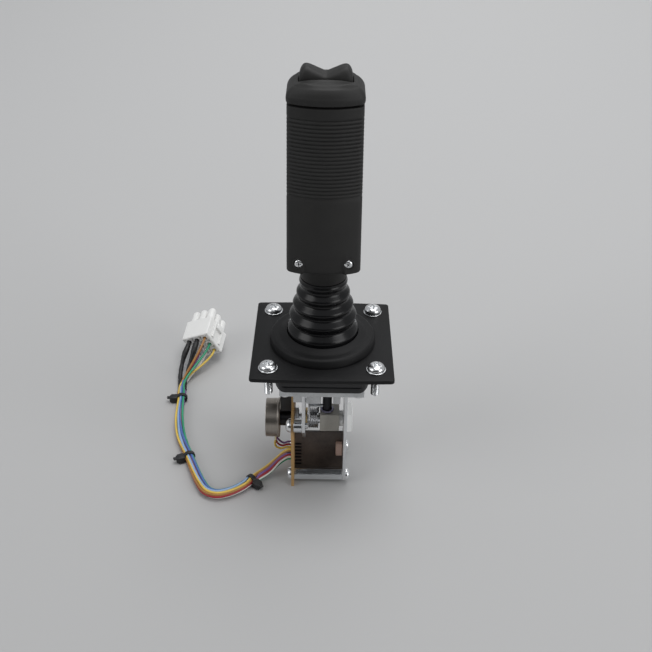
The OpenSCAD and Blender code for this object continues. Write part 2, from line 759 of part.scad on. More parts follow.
module grip_core() {
    color("#9b9ea0") difference() {
        union() {
            translate([0, 0, grip_z - neck_h - 6]) cylinder(h = neck_h + 7, r = nose_r);
            translate([-core_block[0] / 2, -core_block[1] / 2, grip_z + 0.6]) cube(core_block);
            translate([0, 0, grip_z + core_block[2]])
                cylinder(h = rod_top + 1 - grip_z - core_block[2], r = core_r);
        }
        translate([0, 0, grip_z - neck_h - 7]) cylinder(h = rod_top - grip_z + neck_h + 7, d = rod_d);
        for (x = [-1, 1], s = [-1, 1]) translate([x * grip_screw_x, 0, grip_screw_z]) rotate([90 * s, 0, 0])
            translate([0, 0, 5]) cylinder(h = grip_depth, d = m3 + 2 * run_gap);
    }
}

module grip_screws() {
    color("#d5d7d8") for (x = [-1, 1], s = [-1, 1]) translate([x * grip_screw_x, 0, grip_screw_z])
        rotate([90 * s, 0, 0]) translate([0, 0, seat_y]) pan_screw(4.8, 1.8, m3, seat_y - 6);
}

// Half-width of the cap's outside at a share of its height
cap_line = [[0, -0.3], [0.06, 0.1], [0.2, 0.4], [0.34, 0.3], [0.5, -0.6], [0.64, -1.8], [0.77, -3.6],
    [0.87, -6], [0.95, -9.2], [1, -13.4]];
module grip_cap() {
    half = (grip_w - grip_taper) / 2;
    spigot = cap_wall + 0.6;
    color("#232324") difference() {
        union() {
            hull() for (p = cap_line) translate([0, 0, cap_z + p[0] * cap_h - (p[0] == 1 ? 0.05 : 0)])
                linear_extrude(0.05) scale([(half + p[1]) / half, (half + p[1]) / half])
                    grip_section(0, 2 * half);
            translate([0, 0, grip_top - spigot_l]) linear_extrude(cap_z - grip_top + spigot_l + 1)
                grip_section(spigot, 2 * half);
        }
        translate([-rocker_l / 2 - 0.6, -rocker_w / 2 - 0.4, pocket_low])
            cube([rocker_l + 1.2, rocker_w + 0.8, cap_h]);
        translate([0, 0, grip_top - spigot_l - e]) linear_extrude(cap_z - grip_top + spigot_l + 1)
            grip_section(spigot + 2, 2 * half);
        translate([-switch_size[0] / 2, -switch_size[1] / 2, grip_top - spigot_l])
            cube([switch_size[0], switch_size[1], pocket_low - deck_t - grip_top + spigot_l]);
        for (s = [-1, 1]) translate([s * plunger_x, 0, grip_top]) cylinder(h = cap_h, r = plunger_r + 0.4);
        translate([0, rocker_pin_l / 2, rocker_z]) rotate([90, 0, 0])
            cylinder(h = rocker_pin_l, r = rocker_pin_r);
    }
}

module rocker_pin() {
    color("#c9ccce") translate([0, rocker_pin_l / 2, rocker_z]) rotate([90, 0, 0])
        cylinder(h = rocker_pin_l, r = rocker_pin_r);
}

module thumb_switch() {
    top = pocket_low - deck_t;
    color("#2b2f36") difference() {
        translate([-switch_size[0] / 2, -switch_size[1] / 2, top - switch_size[2]]) cube(switch_size);
        for (s = [-1, 1]) translate([s * plunger_x, 0, top - 7]) cylinder(h = 8, r = plunger_r + run_gap);
    }
}

module rocker() {
    half = rocker_l / 2;
    top = cap_top + lobe_h;
    low = rocker_z - 1.6;
    valley = cap_top + lobe_h * 0.42;
    color("#262627") difference() {
        intersection() {
            rotate([90, 0, 0]) linear_extrude(rocker_w, center = true)
                polygon([[half - 2.4, low], [half, cap_top - 0.4], [half - 0.6, cap_top + lobe_h * 0.55],
                    [half - 2.2, top - 0.35], [half - 3.6, top], [half - 5.4, top - 0.3],
                    [2.6, valley + 0.25],
                    [0, valley], [-2.6, valley + 0.25], [-half + 5.4, top - 0.3], [-half + 3.6, top],
                    [-half + 2.2, top - 0.35], [-half + 0.6, cap_top + lobe_h * 0.55], [-half, cap_top - 0.4],
                    [-half + 2.4, low]]);
            translate([0, 0, low]) linear_extrude(top - low) union() {
                for (s = [-1, 1]) translate([s * (half - rocker_w / 2), 0]) circle(d = rocker_w);
                square([rocker_l - rocker_w, rocker_w - 3], center = true);
            }
        }
        translate([0, rocker_w, rocker_z]) rotate([90, 0, 0])
            cylinder(h = 2 * rocker_w, r = rocker_pin_r + run_gap);
    }
}

module plunger(s) {
    color("#c8342a") translate([s * plunger_x, 0, pocket_low - deck_t - 4])
        cylinder(h = rocker_z - 1.6 - 0.3 - pocket_low + deck_t + 4, r = plunger_r);
}

module left_plunger() { plunger(-1); }
module right_plunger() { plunger(1); }

// ---------- harness ----------

module sensor_leads() { color("#c9962f") tube(lead_route, lead_r, 8, [0, 1, 0]); }
module harness() { color("#8c2f2a") tube(harness_route, harness_r, 10); }
module left_sleeve() { color("#161616") tube(left_route, sleeve_r, 8); }
module right_sleeve() { color("#161616") tube(right_route, sleeve_r, 8); }
module loose_wires() { color("#3d6fb0") tube(wires_route, 2.4, 8); }

module cable_ties() {
    band = [3.6, 2.6];
    head = [5, 4.6, 5.2];
    color("#141414") for (k = [0:len(tie_at) - 1]) let (i = tie_at[k], t = along(harness_route, i))
        translate(harness_route[i]) rotate([0, 0, atan2(t[1], t[0])]) {
            rotate([0, 90, 0]) difference() {
                cylinder(h = band[1], r = band[0], center = true);
                cylinder(h = band[1] + 1, r = harness_r, center = true);
            }
            translate([-head[0] / 2, tie_side[k] > 0 ? band[0] - 0.4 : -band[0] + 0.4 - head[1], -3])
                cube(head);
        }
}

module in_connector() {
    translate(connector_at) rotate([0, 0, connector_turn[2]]) rotate([connector_turn[0], 0, 0])
        rotate([0, connector_turn[1], 0]) children();
}

module at_circuits() {
    for (i = [-1:1], j = [-1:1]) translate([i * circuit_pitch, 0, j * circuit_pitch])
        rotate([-90, 0, 0]) children();
}

module connector() {
    color("#f2f2f0") in_connector() difference() {
        union() {
            translate([-shell_w / 2, 0, -shell_w / 2]) cube([shell_w, shell_l, shell_w]);
            at_circuits() translate([0, 0, shell_l - e]) cylinder(h = silo_l, r = silo_r);
        }
        at_circuits() translate([0, 0, -e]) {
            cylinder(h = shell_l - shell_face, r = cavity_r);
            cylinder(h = shell_l + silo_l + 1, r = contact_r + 0.3);
        }
    }
}

module connector_contacts() {
    color("#c9b27a") in_connector() at_circuits() {
        translate([0, 0, 3]) cylinder(h = shell_l - shell_face - 3 - 2 * e, r = cavity_r);
        translate([0, 0, shell_l - shell_face - 4 * e]) cylinder(h = silo_l + 2, r = contact_r);
    }
}

// ---------- build ----------

mounting_plate();
panel_screws();
panel_washers();
boot_flange();
bellows_boot();
housing();
base_casting();
casting_screws();
left_side_plate();
right_side_plate();
side_plate_screws();
front_standoff();
rear_standoff();
standoff_screws();
board_spacers();
board_screws();
control_board();
cross_board();
terminal_block();
film_capacitor();
chip_set();
header_pins();
sensor_can();
sensor_back();
sensor_bush();
sensor_nut();
sensor_track();
sensor_terminals();
left_bush();
bearing_block();
spring_anchor();
centring_spring();
pivot_shaft();
sensor_wiper();
lever_hub();
thrust_washers();
lever_tail();
tail_clip();
spring_dog();
lever_rod();
grip_core();
grip();
grip_screws();
grip_cap();
rocker_pin();
thumb_switch();
rocker();
left_plunger();
right_plunger();
sensor_leads();
harness();
left_sleeve();
right_sleeve();
loose_wires();
cable_ties();
connector();
connector_contacts();
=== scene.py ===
# %% [markdown]
# # An industrial joystick, dressed for its portrait
# The measured model gives every dimension: a square panel plate with a rubber boot, a ribbed
# hand grip with a thumb rocker above it, and below it a die-cast base, a rotary sensor, two
# circuit boards and a wiring harness. This lesson keeps the measured parts where they are and
# gives each visible one its real surface: rolled edges, folds, threads, ribs and insulation.
# Everything is in metres, in the frame of the measured model.

# %% Load the measured frame
import json
import math
import bmesh
import bpy
import numpy as np
from mathutils import Matrix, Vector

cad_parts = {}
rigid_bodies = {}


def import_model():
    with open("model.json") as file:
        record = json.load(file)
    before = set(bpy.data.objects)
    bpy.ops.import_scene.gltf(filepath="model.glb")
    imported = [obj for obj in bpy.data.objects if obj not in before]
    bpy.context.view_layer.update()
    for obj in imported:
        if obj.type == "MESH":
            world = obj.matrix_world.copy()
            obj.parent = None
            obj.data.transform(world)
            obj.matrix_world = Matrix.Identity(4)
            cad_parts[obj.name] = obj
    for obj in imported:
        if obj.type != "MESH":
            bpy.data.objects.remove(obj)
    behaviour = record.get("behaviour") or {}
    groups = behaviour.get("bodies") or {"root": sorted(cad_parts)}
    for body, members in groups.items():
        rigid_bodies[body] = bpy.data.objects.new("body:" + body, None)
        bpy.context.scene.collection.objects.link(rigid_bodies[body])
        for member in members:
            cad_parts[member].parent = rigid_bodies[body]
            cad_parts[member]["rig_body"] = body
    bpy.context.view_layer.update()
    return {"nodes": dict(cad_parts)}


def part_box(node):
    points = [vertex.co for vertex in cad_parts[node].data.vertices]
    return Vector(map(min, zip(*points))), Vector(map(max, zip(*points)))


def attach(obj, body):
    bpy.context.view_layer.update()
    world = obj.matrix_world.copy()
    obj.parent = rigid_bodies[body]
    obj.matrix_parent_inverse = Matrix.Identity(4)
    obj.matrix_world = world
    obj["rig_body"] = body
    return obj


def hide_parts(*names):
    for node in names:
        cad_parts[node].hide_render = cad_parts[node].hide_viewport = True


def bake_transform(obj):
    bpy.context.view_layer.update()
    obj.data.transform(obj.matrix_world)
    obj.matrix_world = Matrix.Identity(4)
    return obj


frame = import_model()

MM = 0.001
NODES = frame["nodes"]
scene = bpy.context.scene
scene.view_settings.view_transform = "Standard"


def span(node):
    """The lowest and the highest corner of a measured node, in millimetres."""
    low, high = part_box(node)
    return np.array(low) / MM, np.array(high) / MM


floor_z = span("control_board")[0][2]
print("measured parts:", len(NODES), "floor at", round(float(floor_z), 2), "mm")

# %% [markdown]
# ## Camera
# The portrait is taken from the front and 33 degrees above the bench, with a normal lens. A
# camera looks along its own -Z, so it is first tipped up from looking down, then rolled a little
# about its own axis, as a hand-set tripod head is.

# %% The camera
camera_data = bpy.data.cameras.new("portrait")
camera_data.lens, camera_data.sensor_width = 52.58, 36.0
camera_data.clip_start = 0.01
camera = bpy.data.objects.new("portrait", camera_data)
scene.collection.objects.link(camera)
camera.matrix_world = (Matrix.Translation((0.00178, -0.43845, 0.29600))
                       @ Matrix.Rotation(math.radians(90 - 33.01), 4, "X")
                       @ Matrix.Rotation(math.radians(0.893), 4, "Z"))
scene.camera = camera
print("camera at", [round(c, 3) for c in camera.location])

# %% [markdown]
# ## Surfaces from arrays
# Three shapes cover nearly everything here. A *loft* is a stack of closed rings of points; a
# turned part is a loft whose rings are circles; a tube is a loft whose rings ride along a path.
# Each is worked out as one array, so a change in a formula changes the whole surface at once.
# A closed shell has a volume, and its sign says which way the faces point.


# %% Lofts and their faces
def outward(points, faces):
    """Turns the faces round if the shell's volume, the sum of v0 . (v1 x v2) / 6, is negative."""
    corners = [np.array([f[0], a, b]) for f in faces for a, b in zip(f[1:-1], f[2:])]
    tri = points[np.array(corners)]
    volume = np.einsum("ij,ij->i", tri[:, 0], np.cross(tri[:, 1], tri[:, 2])).sum()
    return points, (faces if volume > 0 else [f[::-1] for f in faces])


def loft(rings, ends="fan"):
    """Quads between neighbouring rings; ends are fanned to their middles, or 'ring' joins them."""
    rings = np.asarray(rings, float)
    n, m = rings.shape[:2]
    here = np.arange(n * m).reshape(n, m)
    beside = np.roll(here, -1, axis=1)
    if ends == "ring":
        quads = np.stack([here, beside, np.roll(beside, -1, axis=0), np.roll(here, -1, axis=0)], -1)
    else:
        quads = np.stack([here[:-1], beside[:-1], beside[1:], here[1:]], -1)
    points, faces = rings.reshape(-1, 3), quads.reshape(-1, 4).tolist()
    if ends == "fan":
        points = np.vstack([points, rings[0].mean(0), rings[-1].mean(0)])
        low = np.stack([np.full(m, n * m), beside[0], here[0]], -1)
        high = np.stack([np.full(m, n * m + 1), here[-1], beside[-1]], -1)
        faces += low.tolist() + high.tolist()
    return outward(points, faces)


print("a loft of 3 rings of 8 points has", len(loft(np.zeros((3, 8, 3)))[1]), "faces")


# %% Soft-cornered profiles, turned
def softened(outline, reach, steps=4, closed=False):
    """Each corner v becomes (1-s)^2 a + 2s(1-s) v + s^2 b, with a and b up to reach away on its sides."""
    p = np.asarray(outline, float)
    before, after = np.roll(p, 1, 0) - p, np.roll(p, -1, 0) - p
    cut = np.minimum(reach, 0.48 * np.linalg.norm(before, axis=1))
    cut2 = np.minimum(reach, 0.48 * np.linalg.norm(after, axis=1))
    a = p + before * (cut / np.maximum(np.linalg.norm(before, axis=1), 1e-9))[:, None]
    b = p + after * (cut2 / np.maximum(np.linalg.norm(after, axis=1), 1e-9))[:, None]
    s = np.linspace(0, 1, steps + 1)[None, :, None]
    curves = (1 - s) ** 2 * a[:, None] + 2 * s * (1 - s) * p[:, None] + s ** 2 * b[:, None]
    if closed:
        return curves.reshape(-1, p.shape[1])
    return np.vstack([p[:1], curves[1:-1].reshape(-1, p.shape[1]), p[-1:]])


def turned(profile, around=64, ends="fan"):
    """A profile of (radius, height) carried round Z: x = r cos a, y = r sin a."""
    profile = np.asarray(profile, float)
    a = np.linspace(0, 2 * np.pi, around, endpoint=False)
    r, z = profile[:, :1], profile[:, 1:2]
    rings = np.stack([r * np.cos(a), r * np.sin(a), np.broadcast_to(z, (len(profile), around))], -1)
    return loft(rings, ends)


print("a turned rod of 64 sides has", len(turned([[1, 0], [1, 9]])[1]), "faces")


# %% Tubes along a path
def frames(path):
    """Tangents t, and two side vectors u, v turned as little as possible from point to point."""
    path = np.asarray(path, float)
    t = np.gradient(path, axis=0)
    t /= np.linalg.norm(t, axis=1)[:, None]
    up = np.array([0.0, 0, 1]) if abs(t[0][2]) < 0.9 else np.array([0.0, 1, 0])
    u = up - t * (t @ up)[:, None]
    u /= np.linalg.norm(u, axis=1)[:, None]
    return t, u, np.cross(t, u)


def tube(path, radius, around=10):
    """Rings p + r (cos a u + sin a v) along the path; radius is a number or one per point."""
    _, u, v = frames(path)
    a = np.linspace(0, 2 * np.pi, around, endpoint=False)
    r = np.broadcast_to(np.asarray(radius, float), len(path))[:, None, None]
    rings = (np.asarray(path)[:, None] + r * (np.cos(a)[None, :, None] * u[:, None]
                                              + np.sin(a)[None, :, None] * v[:, None]))
    return loft(rings)


def smooth_path(points, count):
    """A Catmull-Rom curve through the points, sampled evenly along its length."""
    p = np.asarray(points, float)
    p = np.vstack([2 * p[0] - p[1], p, 2 * p[-1] - p[-2]])
    s = np.linspace(0, 1, 16, endpoint=False)[None, :, None]
    a, b, c, d = (p[k:len(p) - 3 + k][:, None] for k in range(4))
    curve = 0.5 * (2 * b + (c - a) * s + (2 * a - 5 * b + 4 * c - d) * s ** 2
                   + (3 * b - a - 3 * c + d) * s ** 3)
    curve = np.vstack([curve.reshape(-1, 3), p[-2]])
    run = np.concatenate([[0], np.cumsum(np.linalg.norm(np.diff(curve, axis=0), axis=1))])
    even = np.linspace(0, run[-1], count)
    return np.stack([np.interp(even, run, curve[:, k]) for k in range(3)], -1)


print("an even curve through 3 points:", len(smooth_path([[0, 0, 0], [4, 2, 0], [8, 0, 0]], 50)), "points")


# %% Shells laid in place, and rounded boxes
def moved(shell, origin=(0, 0, 0), axis="Z", turn=0.0):
    """A shell made about Z, spun by turn degrees, laid with its Z along the axis, and carried to origin."""
    lay = {"Z": np.eye(3), "-Z": np.diag([1.0, -1, -1]), "X": np.array([[0.0, 0, 1], [0, 1, 0], [-1, 0, 0]]),
           "-X": np.array([[0.0, 0, -1], [0, 1, 0], [1, 0, 0]]), "-Y": np.array([[1.0, 0, 0], [0, 0, -1], [0, 1, 0]]),
           "Y": np.array([[1.0, 0, 0], [0, 0, 1], [0, -1, 0]])}[axis] if isinstance(axis, str) else axis
    c, s = math.cos(math.radians(turn)), math.sin(math.radians(turn))
    spin = np.array([[c, -s, 0], [s, c, 0], [0, 0, 1]])
    return shell[0] @ (lay @ spin).T + np.asarray(origin, float), shell[1]


def box_shell(size, corner, steps=4):
    """A cuboid with rounded edges, centred on the origin: a sphere's grid pushed out along each axis."""
    half = np.asarray(size, float) / 2
    corner = min(corner, *half)
    lat = np.concatenate([np.linspace(-90, 0, steps + 1), np.linspace(0, 90, steps + 1)])
    lon = np.concatenate([np.linspace(q, q + 90, steps + 1) for q in (0, 90, 180, 270)])
    la, lo = np.radians(lat)[:, None], np.radians(lon)[None, :]
    x, y, z = np.cos(la) * np.cos(lo), np.cos(la) * np.sin(lo), np.sin(la) * np.ones_like(lo)
    quadrant = np.repeat([45, 135, 225, 315], steps + 1)[None, :]
    sx, sy = np.sign(np.cos(np.radians(quadrant))), np.sign(np.sin(np.radians(quadrant)))
    sz = np.repeat([-1.0, 1.0], steps + 1)[:, None]
    core = half - corner
    rings = np.stack([corner * x + core[0] * sx, corner * y + core[1] * sy, corner * z + core[2] * sz], -1)
    return loft(rings)


print("a rounded box has", len(box_shell([4, 4, 4], 0.5)[1]), "faces")

# %% [markdown]
# ## From shells to pieces
# A piece is one mesh with one finish that rides on one body of the measured model, so it moves
# when that body does; the boot alone rides on none. Some measured parts already have the right form
# and lack only their rounded edges: those are copied, their loose triangles merged, and a bevel put on the copy.


# %% One mesh from its shells
def piece(name, shells, finish, body, replaces=(), crease=38, fold=None):
    """Joins the shells, in millimetres, into one mesh with one finish that rides on a body, or, given fold, on none."""
    shells = [shells] if isinstance(shells, tuple) else shells
    starts = np.cumsum([0] + [len(p) for p, _ in shells])
    points = np.vstack([p for p, _ in shells]) * MM
    faces = [[i + s for i in f] for (_, fs), s in zip(shells, starts.tolist()) for f in fs]
    mesh = bpy.data.meshes.new(name)
    mesh.from_pydata(points.tolist(), [], faces)
    mesh.polygons.foreach_set("use_smooth", np.ones(len(mesh.polygons), bool))
    mesh.set_sharp_from_angle(angle=math.radians(crease))
    mesh.materials.append(finish)
    mesh.update()
    obj = bpy.data.objects.new(name, mesh)
    scene.collection.objects.link(obj)
    if fold:
        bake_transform(obj)
    else:
        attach(obj, body)
    if replaces:
        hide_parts(*replaces)
    print(f"{name}: {len(points)} points, {len(faces)} faces")
    return obj


# %% A measured part with rounded edges
sharp_edge, round_from = math.radians(40), math.radians(32)


def eased(node, width, finish):
    """A copy of a measured node with its doubles merged, flat faces joined and its edges rounded."""
    source = NODES[node]
    mesh = source.data.copy()
    obj = bpy.data.objects.new(node + "_eased", mesh)
    scene.collection.objects.link(obj)
    edit = bmesh.new()
    edit.from_mesh(mesh)
    bmesh.ops.remove_doubles(edit, verts=edit.verts, dist=2e-6)
    bmesh.ops.dissolve_limit(edit, angle_limit=math.radians(0.6), verts=edit.verts, edges=edit.edges)
    edit.to_mesh(mesh)
    edit.free()
    mesh.polygons.foreach_set("use_smooth", np.ones(len(mesh.polygons), bool))
    mesh.set_sharp_from_angle(angle=sharp_edge)
    mesh.materials.clear()
    mesh.materials.append(finish)
    bevel = obj.modifiers.new("rounded edges", "BEVEL")
    bevel.width, bevel.segments = width * MM, 2
    bevel.limit_method, bevel.angle_limit = "ANGLE", round_from
    bevel.use_clamp_overlap = True
    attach(obj, source["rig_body"])
    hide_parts(node)
    return obj


print("edges are rounded where faces meet at more than", round(math.degrees(round_from)), "degrees")

# %% [markdown]
# ## Finishes
# Nearly every surface is one of three kinds: textured black plastic, bright or cast metal, and
# coloured insulation. One recipe serves them all: a broad noise drifts the colour and gloss, as
# handling and moulding do, and a fine noise lifts the surface a few hundredths of a millimetre.
# Stretching the fine noise along an axis turns grain into brush marks. The patterns read Object
# coordinates, so they sit still on the part from every side.


# %% The recipe for a finish
def finish(name, colour, rough, metal=0.0, drift=0.12, drift_scale=60.0, grain=1500.0, height=0.02,
           stretch=(1, 1, 1), rough_drift=0.12, gloss=0.5, see=0.0):
    """Colour drifts from a darker to a lighter shade by 0.65 broad + 0.35 fine noise; height is the relief in mm."""
    material = bpy.data.materials.new(name)
    material.use_nodes = True
    nodes, links = material.node_tree.nodes, material.node_tree.links
    shader = nodes["Principled BSDF"]
    place, fit = nodes.new("ShaderNodeTexCoord"), nodes.new("ShaderNodeMapping")
    fit.inputs["Scale"].default_value = stretch
    links.new(place.outputs["Object"], fit.inputs["Vector"])

    def noise(scale, detail, source):
        made = nodes.new("ShaderNodeTexNoise")
        made.inputs["Scale"].default_value, made.inputs["Detail"].default_value = scale, detail
        links.new(source, made.inputs["Vector"])
        return made.outputs["Fac"]

    broad = noise(drift_scale, 3.0, place.outputs["Object"])
    fine = noise(grain, 4.0, fit.outputs["Vector"])
    ramp = nodes.new("ShaderNodeValToRGB")
    dark = tuple(c * (1 - 2 * drift) for c in colour)
    light = tuple(min(1.0, c * (1 + drift)) for c in colour)
    ramp.color_ramp.elements[0].position, ramp.color_ramp.elements[1].position = 0.3, 0.7
    ramp.color_ramp.elements[0].color, ramp.color_ramp.elements[1].color = (*dark, 1), (*light, 1)
    mixed = nodes.new("ShaderNodeMath")
    mixed.operation = "MULTIPLY_ADD"
    mixed.inputs[1].default_value = 0.35
    links.new(fine, mixed.inputs[0])
    half = nodes.new("ShaderNodeMath")
    half.operation = "MULTIPLY"
    half.inputs[1].default_value = 0.65
    links.new(broad, half.inputs[0])
    links.new(half.outputs[0], mixed.inputs[2])
    links.new(mixed.outputs[0], ramp.inputs["Fac"])
    links.new(ramp.outputs["Color"], shader.inputs["Base Color"])
    wear = nodes.new("ShaderNodeMapRange")
    wear.inputs["To Min"].default_value = max(0.03, rough - rough_drift)
    wear.inputs["To Max"].default_value = min(1.0, rough + rough_drift)
    links.new(mixed.outputs[0], wear.inputs["Value"])
    links.new(wear.outputs["Result"], shader.inputs["Roughness"])
    bump = nodes.new("ShaderNodeBump")
    bump.inputs["Strength"].default_value, bump.inputs["Distance"].default_value = 1.0, height * MM
    links.new(fine, bump.inputs["Height"])
    links.new(bump.outputs["Normal"], shader.inputs["Normal"])
    shader.inputs["Metallic"].default_value = metal
    shader.inputs["Specular IOR Level"].default_value = gloss
    shader.inputs["Transmission Weight"].default_value = see
    if see:
        shader.inputs["IOR"].default_value = 1.49
    return material


# %% Black plastics and rubber
grip_black = finish("grip_black", (0.0145, 0.0141, 0.0134), 0.62, grain=2600, height=0.035, gloss=0.45, drift=0.2)
plate_black = finish("plate_black", (0.0078, 0.0078, 0.0084), 0.54, grain=1900, height=0.03, gloss=0.24, drift=0.25,
                     drift_scale=45)
moulding_black = finish("moulding_black", (0.009, 0.0093, 0.011), 0.46, grain=1700, height=0.015, drift=0.2)
rubber_black = finish("rubber_black", (0.004, 0.004, 0.0045), 0.25, grain=900, height=0.006, drift=0.25, gloss=0.32,
                      rough_drift=0.1, drift_scale=90)
sleeve_black = finish("sleeve_black", (0.013, 0.013, 0.014), 0.5, grain=1400, height=0.05, drift=0.3)
part_black = finish("part_black", (0.014, 0.011, 0.010), 0.5, grain=2000, height=0.015, drift=0.25)
steel_black = finish("steel_black", (0.018, 0.018, 0.022), 0.34, metal=0.5, grain=1500, height=0.01)

# %% Metals
zinc = finish("zinc_plate", (0.83, 0.84, 0.85), 0.22, metal=1.0, grain=900, height=0.008, drift=0.05, rough_drift=0.1)
bright = finish("bright_steel", (0.74, 0.76, 0.78), 0.17, metal=1.0, grain=260, height=0.006, drift=0.06,
                stretch=(0.15, 1, 1), rough_drift=0.08)
cast = finish("cast_metal", (0.60, 0.61, 0.62), 0.5, metal=0.75, grain=1300, height=0.05, drift=0.12, drift_scale=120)
sheet = finish("sheet_metal", (0.76, 0.77, 0.78), 0.33, metal=0.9, grain=420, height=0.008, drift=0.06,
               stretch=(1, 0.12, 1))
can_metal = finish("can_metal", (0.35, 0.318, 0.283), 0.34, metal=1.0, grain=1100, height=0.02, drift=0.16,
                   stretch=(1, 0.03, 0.03), drift_scale=70)
bronze = finish("bronze", (0.46, 0.34, 0.17), 0.42, metal=1.0, grain=1500, height=0.02)
tinned = finish("tinned_brass", (0.78, 0.70, 0.48), 0.3, metal=1.0, grain=800, height=0.01)
spring_wire = finish("spring_wire", (0.34, 0.34, 0.35), 0.3, metal=1.0, grain=900, height=0.008)

# %% Boards, nylon and small parts
board_tan = finish("board_tan", (0.47, 0.29, 0.12), 0.5, grain=1100, height=0.012, drift=0.12, stretch=(1, 1, 0.3),
                   gloss=0.45)
board_dark = finish("board_dark", (0.105, 0.082, 0.070), 0.42, grain=700, height=0.01, drift=0.22, drift_scale=110)
beige = finish("beige_part", (0.60, 0.42, 0.35), 0.4, grain=700, height=0.01, drift=0.06)
nylon_white = finish("nylon_white", (0.94, 0.94, 0.925), 0.38, grain=700, height=0.006, drift=0.03, rough_drift=0.06)
nylon_grey = finish("nylon_grey", (0.50, 0.48, 0.43), 0.5, grain=800, height=0.012, drift=0.08)
lilac = finish("lilac_clip", (0.42, 0.40, 0.56), 0.35, metal=0.4, grain=800, height=0.006)
red_plastic = finish("red_plastic", (0.55, 0.04, 0.03), 0.35, grain=800, height=0.006)
print("finishes:", len(bpy.data.materials))

# %% [markdown]
# ## The bench and the light
# The part stands on a pale grey sweep, a floor that curves up into its own backdrop. A sweep
# has no corner, so nothing draws the eye. One softbox overhead and one on each side light the
# part, a fourth lights the backdrop, and a soft sky fills the rest, all at a level where each
# colour renders as it is written. The grey is the sweep's own, but its brightening from the front
# to the back is painted light, a painted falloff. A dark cloth hangs in front, out of sight:
# bright metal needs something dark to mirror, or it looks like white paint.

# %% A sweep for a bench
bend_y, bend_r = 1.3, 1.1
quarter_turn = np.linspace(0, np.pi / 2, 24)[1:]
along = np.concatenate([np.linspace(-1.6, bend_y, 40), bend_y + bend_r * np.sin(quarter_turn)])
rise = np.concatenate([np.zeros(40), bend_r - bend_r * np.cos(quarter_turn)])
across = np.linspace(-2.6, 2.6, 60)
ground = np.stack(np.broadcast_arrays(across[None, :], along[:, None], floor_z * MM + rise[:, None]), -1)
count = ground.shape[:2]
index = np.arange(count[0] * count[1]).reshape(count)
quads = np.stack([index[:-1, :-1], index[:-1, 1:], index[1:, 1:], index[1:, :-1]], -1).reshape(-1, 4)
sweep_mesh = bpy.data.meshes.new("sweep")
sweep_mesh.from_pydata(ground.reshape(-1, 3).tolist(), [], quads.tolist())
sweep_mesh.polygons.foreach_set("use_smooth", np.ones(len(sweep_mesh.polygons), bool))
sweep = bpy.data.objects.new("sweep", sweep_mesh)
scene.collection.objects.link(sweep)

falloff_paper = bpy.data.materials.new("grey_paper_painted_falloff")
falloff_paper.use_nodes = True
nodes, links = falloff_paper.node_tree.nodes, falloff_paper.node_tree.links
place, split = nodes.new("ShaderNodeTexCoord"), nodes.new("ShaderNodeSeparateXYZ")
links.new(place.outputs["Object"], split.inputs["Vector"])
shade = nodes.new("ShaderNodeMapRange")
shade.inputs["From Min"].default_value, shade.inputs["From Max"].default_value = -0.35, 1.3
links.new(split.outputs["Y"], shade.inputs["Value"])
# Painted light: the ramp makes the sweep 0.43 grey at the front and 0.70 at the back, a painted falloff of light rather
# than the paper's own colour.
ramp = nodes.new("ShaderNodeValToRGB")
ramp.color_ramp.elements[0].color = (0.43, 0.43, 0.43, 1)
ramp.color_ramp.elements[1].color = (0.70, 0.70, 0.696, 1)
for place_on, value in ((0.24, 0.46), (0.37, 0.505), (0.6, 0.575)):
    stop = ramp.color_ramp.elements.new(place_on)
    stop.color = (value, value, value, 1)
links.new(shade.outputs["Result"], ramp.inputs["Fac"])
links.new(ramp.outputs["Color"], nodes["Principled BSDF"].inputs["Base Color"])
nodes["Principled BSDF"].inputs["Roughness"].default_value = 0.75
nodes["Principled BSDF"].inputs["Specular IOR Level"].default_value = 0.2
sweep_mesh.materials.append(falloff_paper)
print("sweep:", len(sweep_mesh.polygons), "faces")


# %% Lamps
def softbox(name, place_at, size, watts, at=(0.0, 0.0, 0.02)):
    """A square area lamp that faces the middle of the part, or another place."""
    lamp = bpy.data.lights.new(name, "AREA")
    lamp.shape, lamp.size, lamp.energy = "SQUARE", size, watts
    obj = bpy.data.objects.new(name, lamp)
    scene.collection.objects.link(obj)
    aim = np.array(at) - np.array(place_at)
    obj.location = place_at
    obj.rotation_euler = (math.acos(-aim[2] / np.linalg.norm(aim)), 0, math.atan2(aim[1], aim[0]) - math.pi / 2)
    return obj


softbox("overhead", (0.2, 0.05, 1.3), 0.8, 9.3)
softbox("left_window", (-1.1, -0.55, 0.75), 0.8, 4.0)
softbox("right_card", (1.05, -0.7, 0.45), 0.8, 5.4)
softbox("backdrop_lamp", (0.35, 1.25, 1.25), 1.0, 4.4, (0.3, 1.7, -0.09))

# %% The dark cloth and the sky
card_mesh = bpy.data.meshes.new("dark_card")
card_mesh.from_pydata([(-1.2, -1.15, -0.09), (1.2, -1.15, -0.09), (1.2, -1.15, 0.75), (-1.2, -1.15, 0.75)], [],
                      [(0, 1, 2, 3)])
card_look = bpy.data.materials.new("dark_cloth")
card_look.use_nodes = True
card_look.node_tree.nodes["Principled BSDF"].inputs["Base Color"].default_value = (0.02, 0.02, 0.02, 1)
card_look.node_tree.nodes["Principled BSDF"].inputs["Roughness"].default_value = 0.9
card_mesh.materials.append(card_look)
card = bpy.data.objects.new("dark_card", card_mesh)
scene.collection.objects.link(card)
card.visible_camera = False
world = bpy.data.worlds.new("sky")
scene.world = world
world.use_nodes = True
world.node_tree.nodes["Background"].inputs["Color"].default_value = (0.95, 0.97, 1.0, 1)
world.node_tree.nodes["Background"].inputs["Strength"].default_value = 0.42
print("sky and cloth ready")

# %% [markdown]
# ## The wiring harness
# Ten thin wires leave the left face of the board, run along the bench in one loose bundle held
# by three cable ties, and end in a nine-way plug. Each wire follows the same middle line at its
# own angle and drifts round it slowly, as wires laid together by hand do. At a tie the bundle is
# pinched, between ties it loosens. After the last tie two legs are in black sleeving and the
# others fan out to their own holes in the plug.

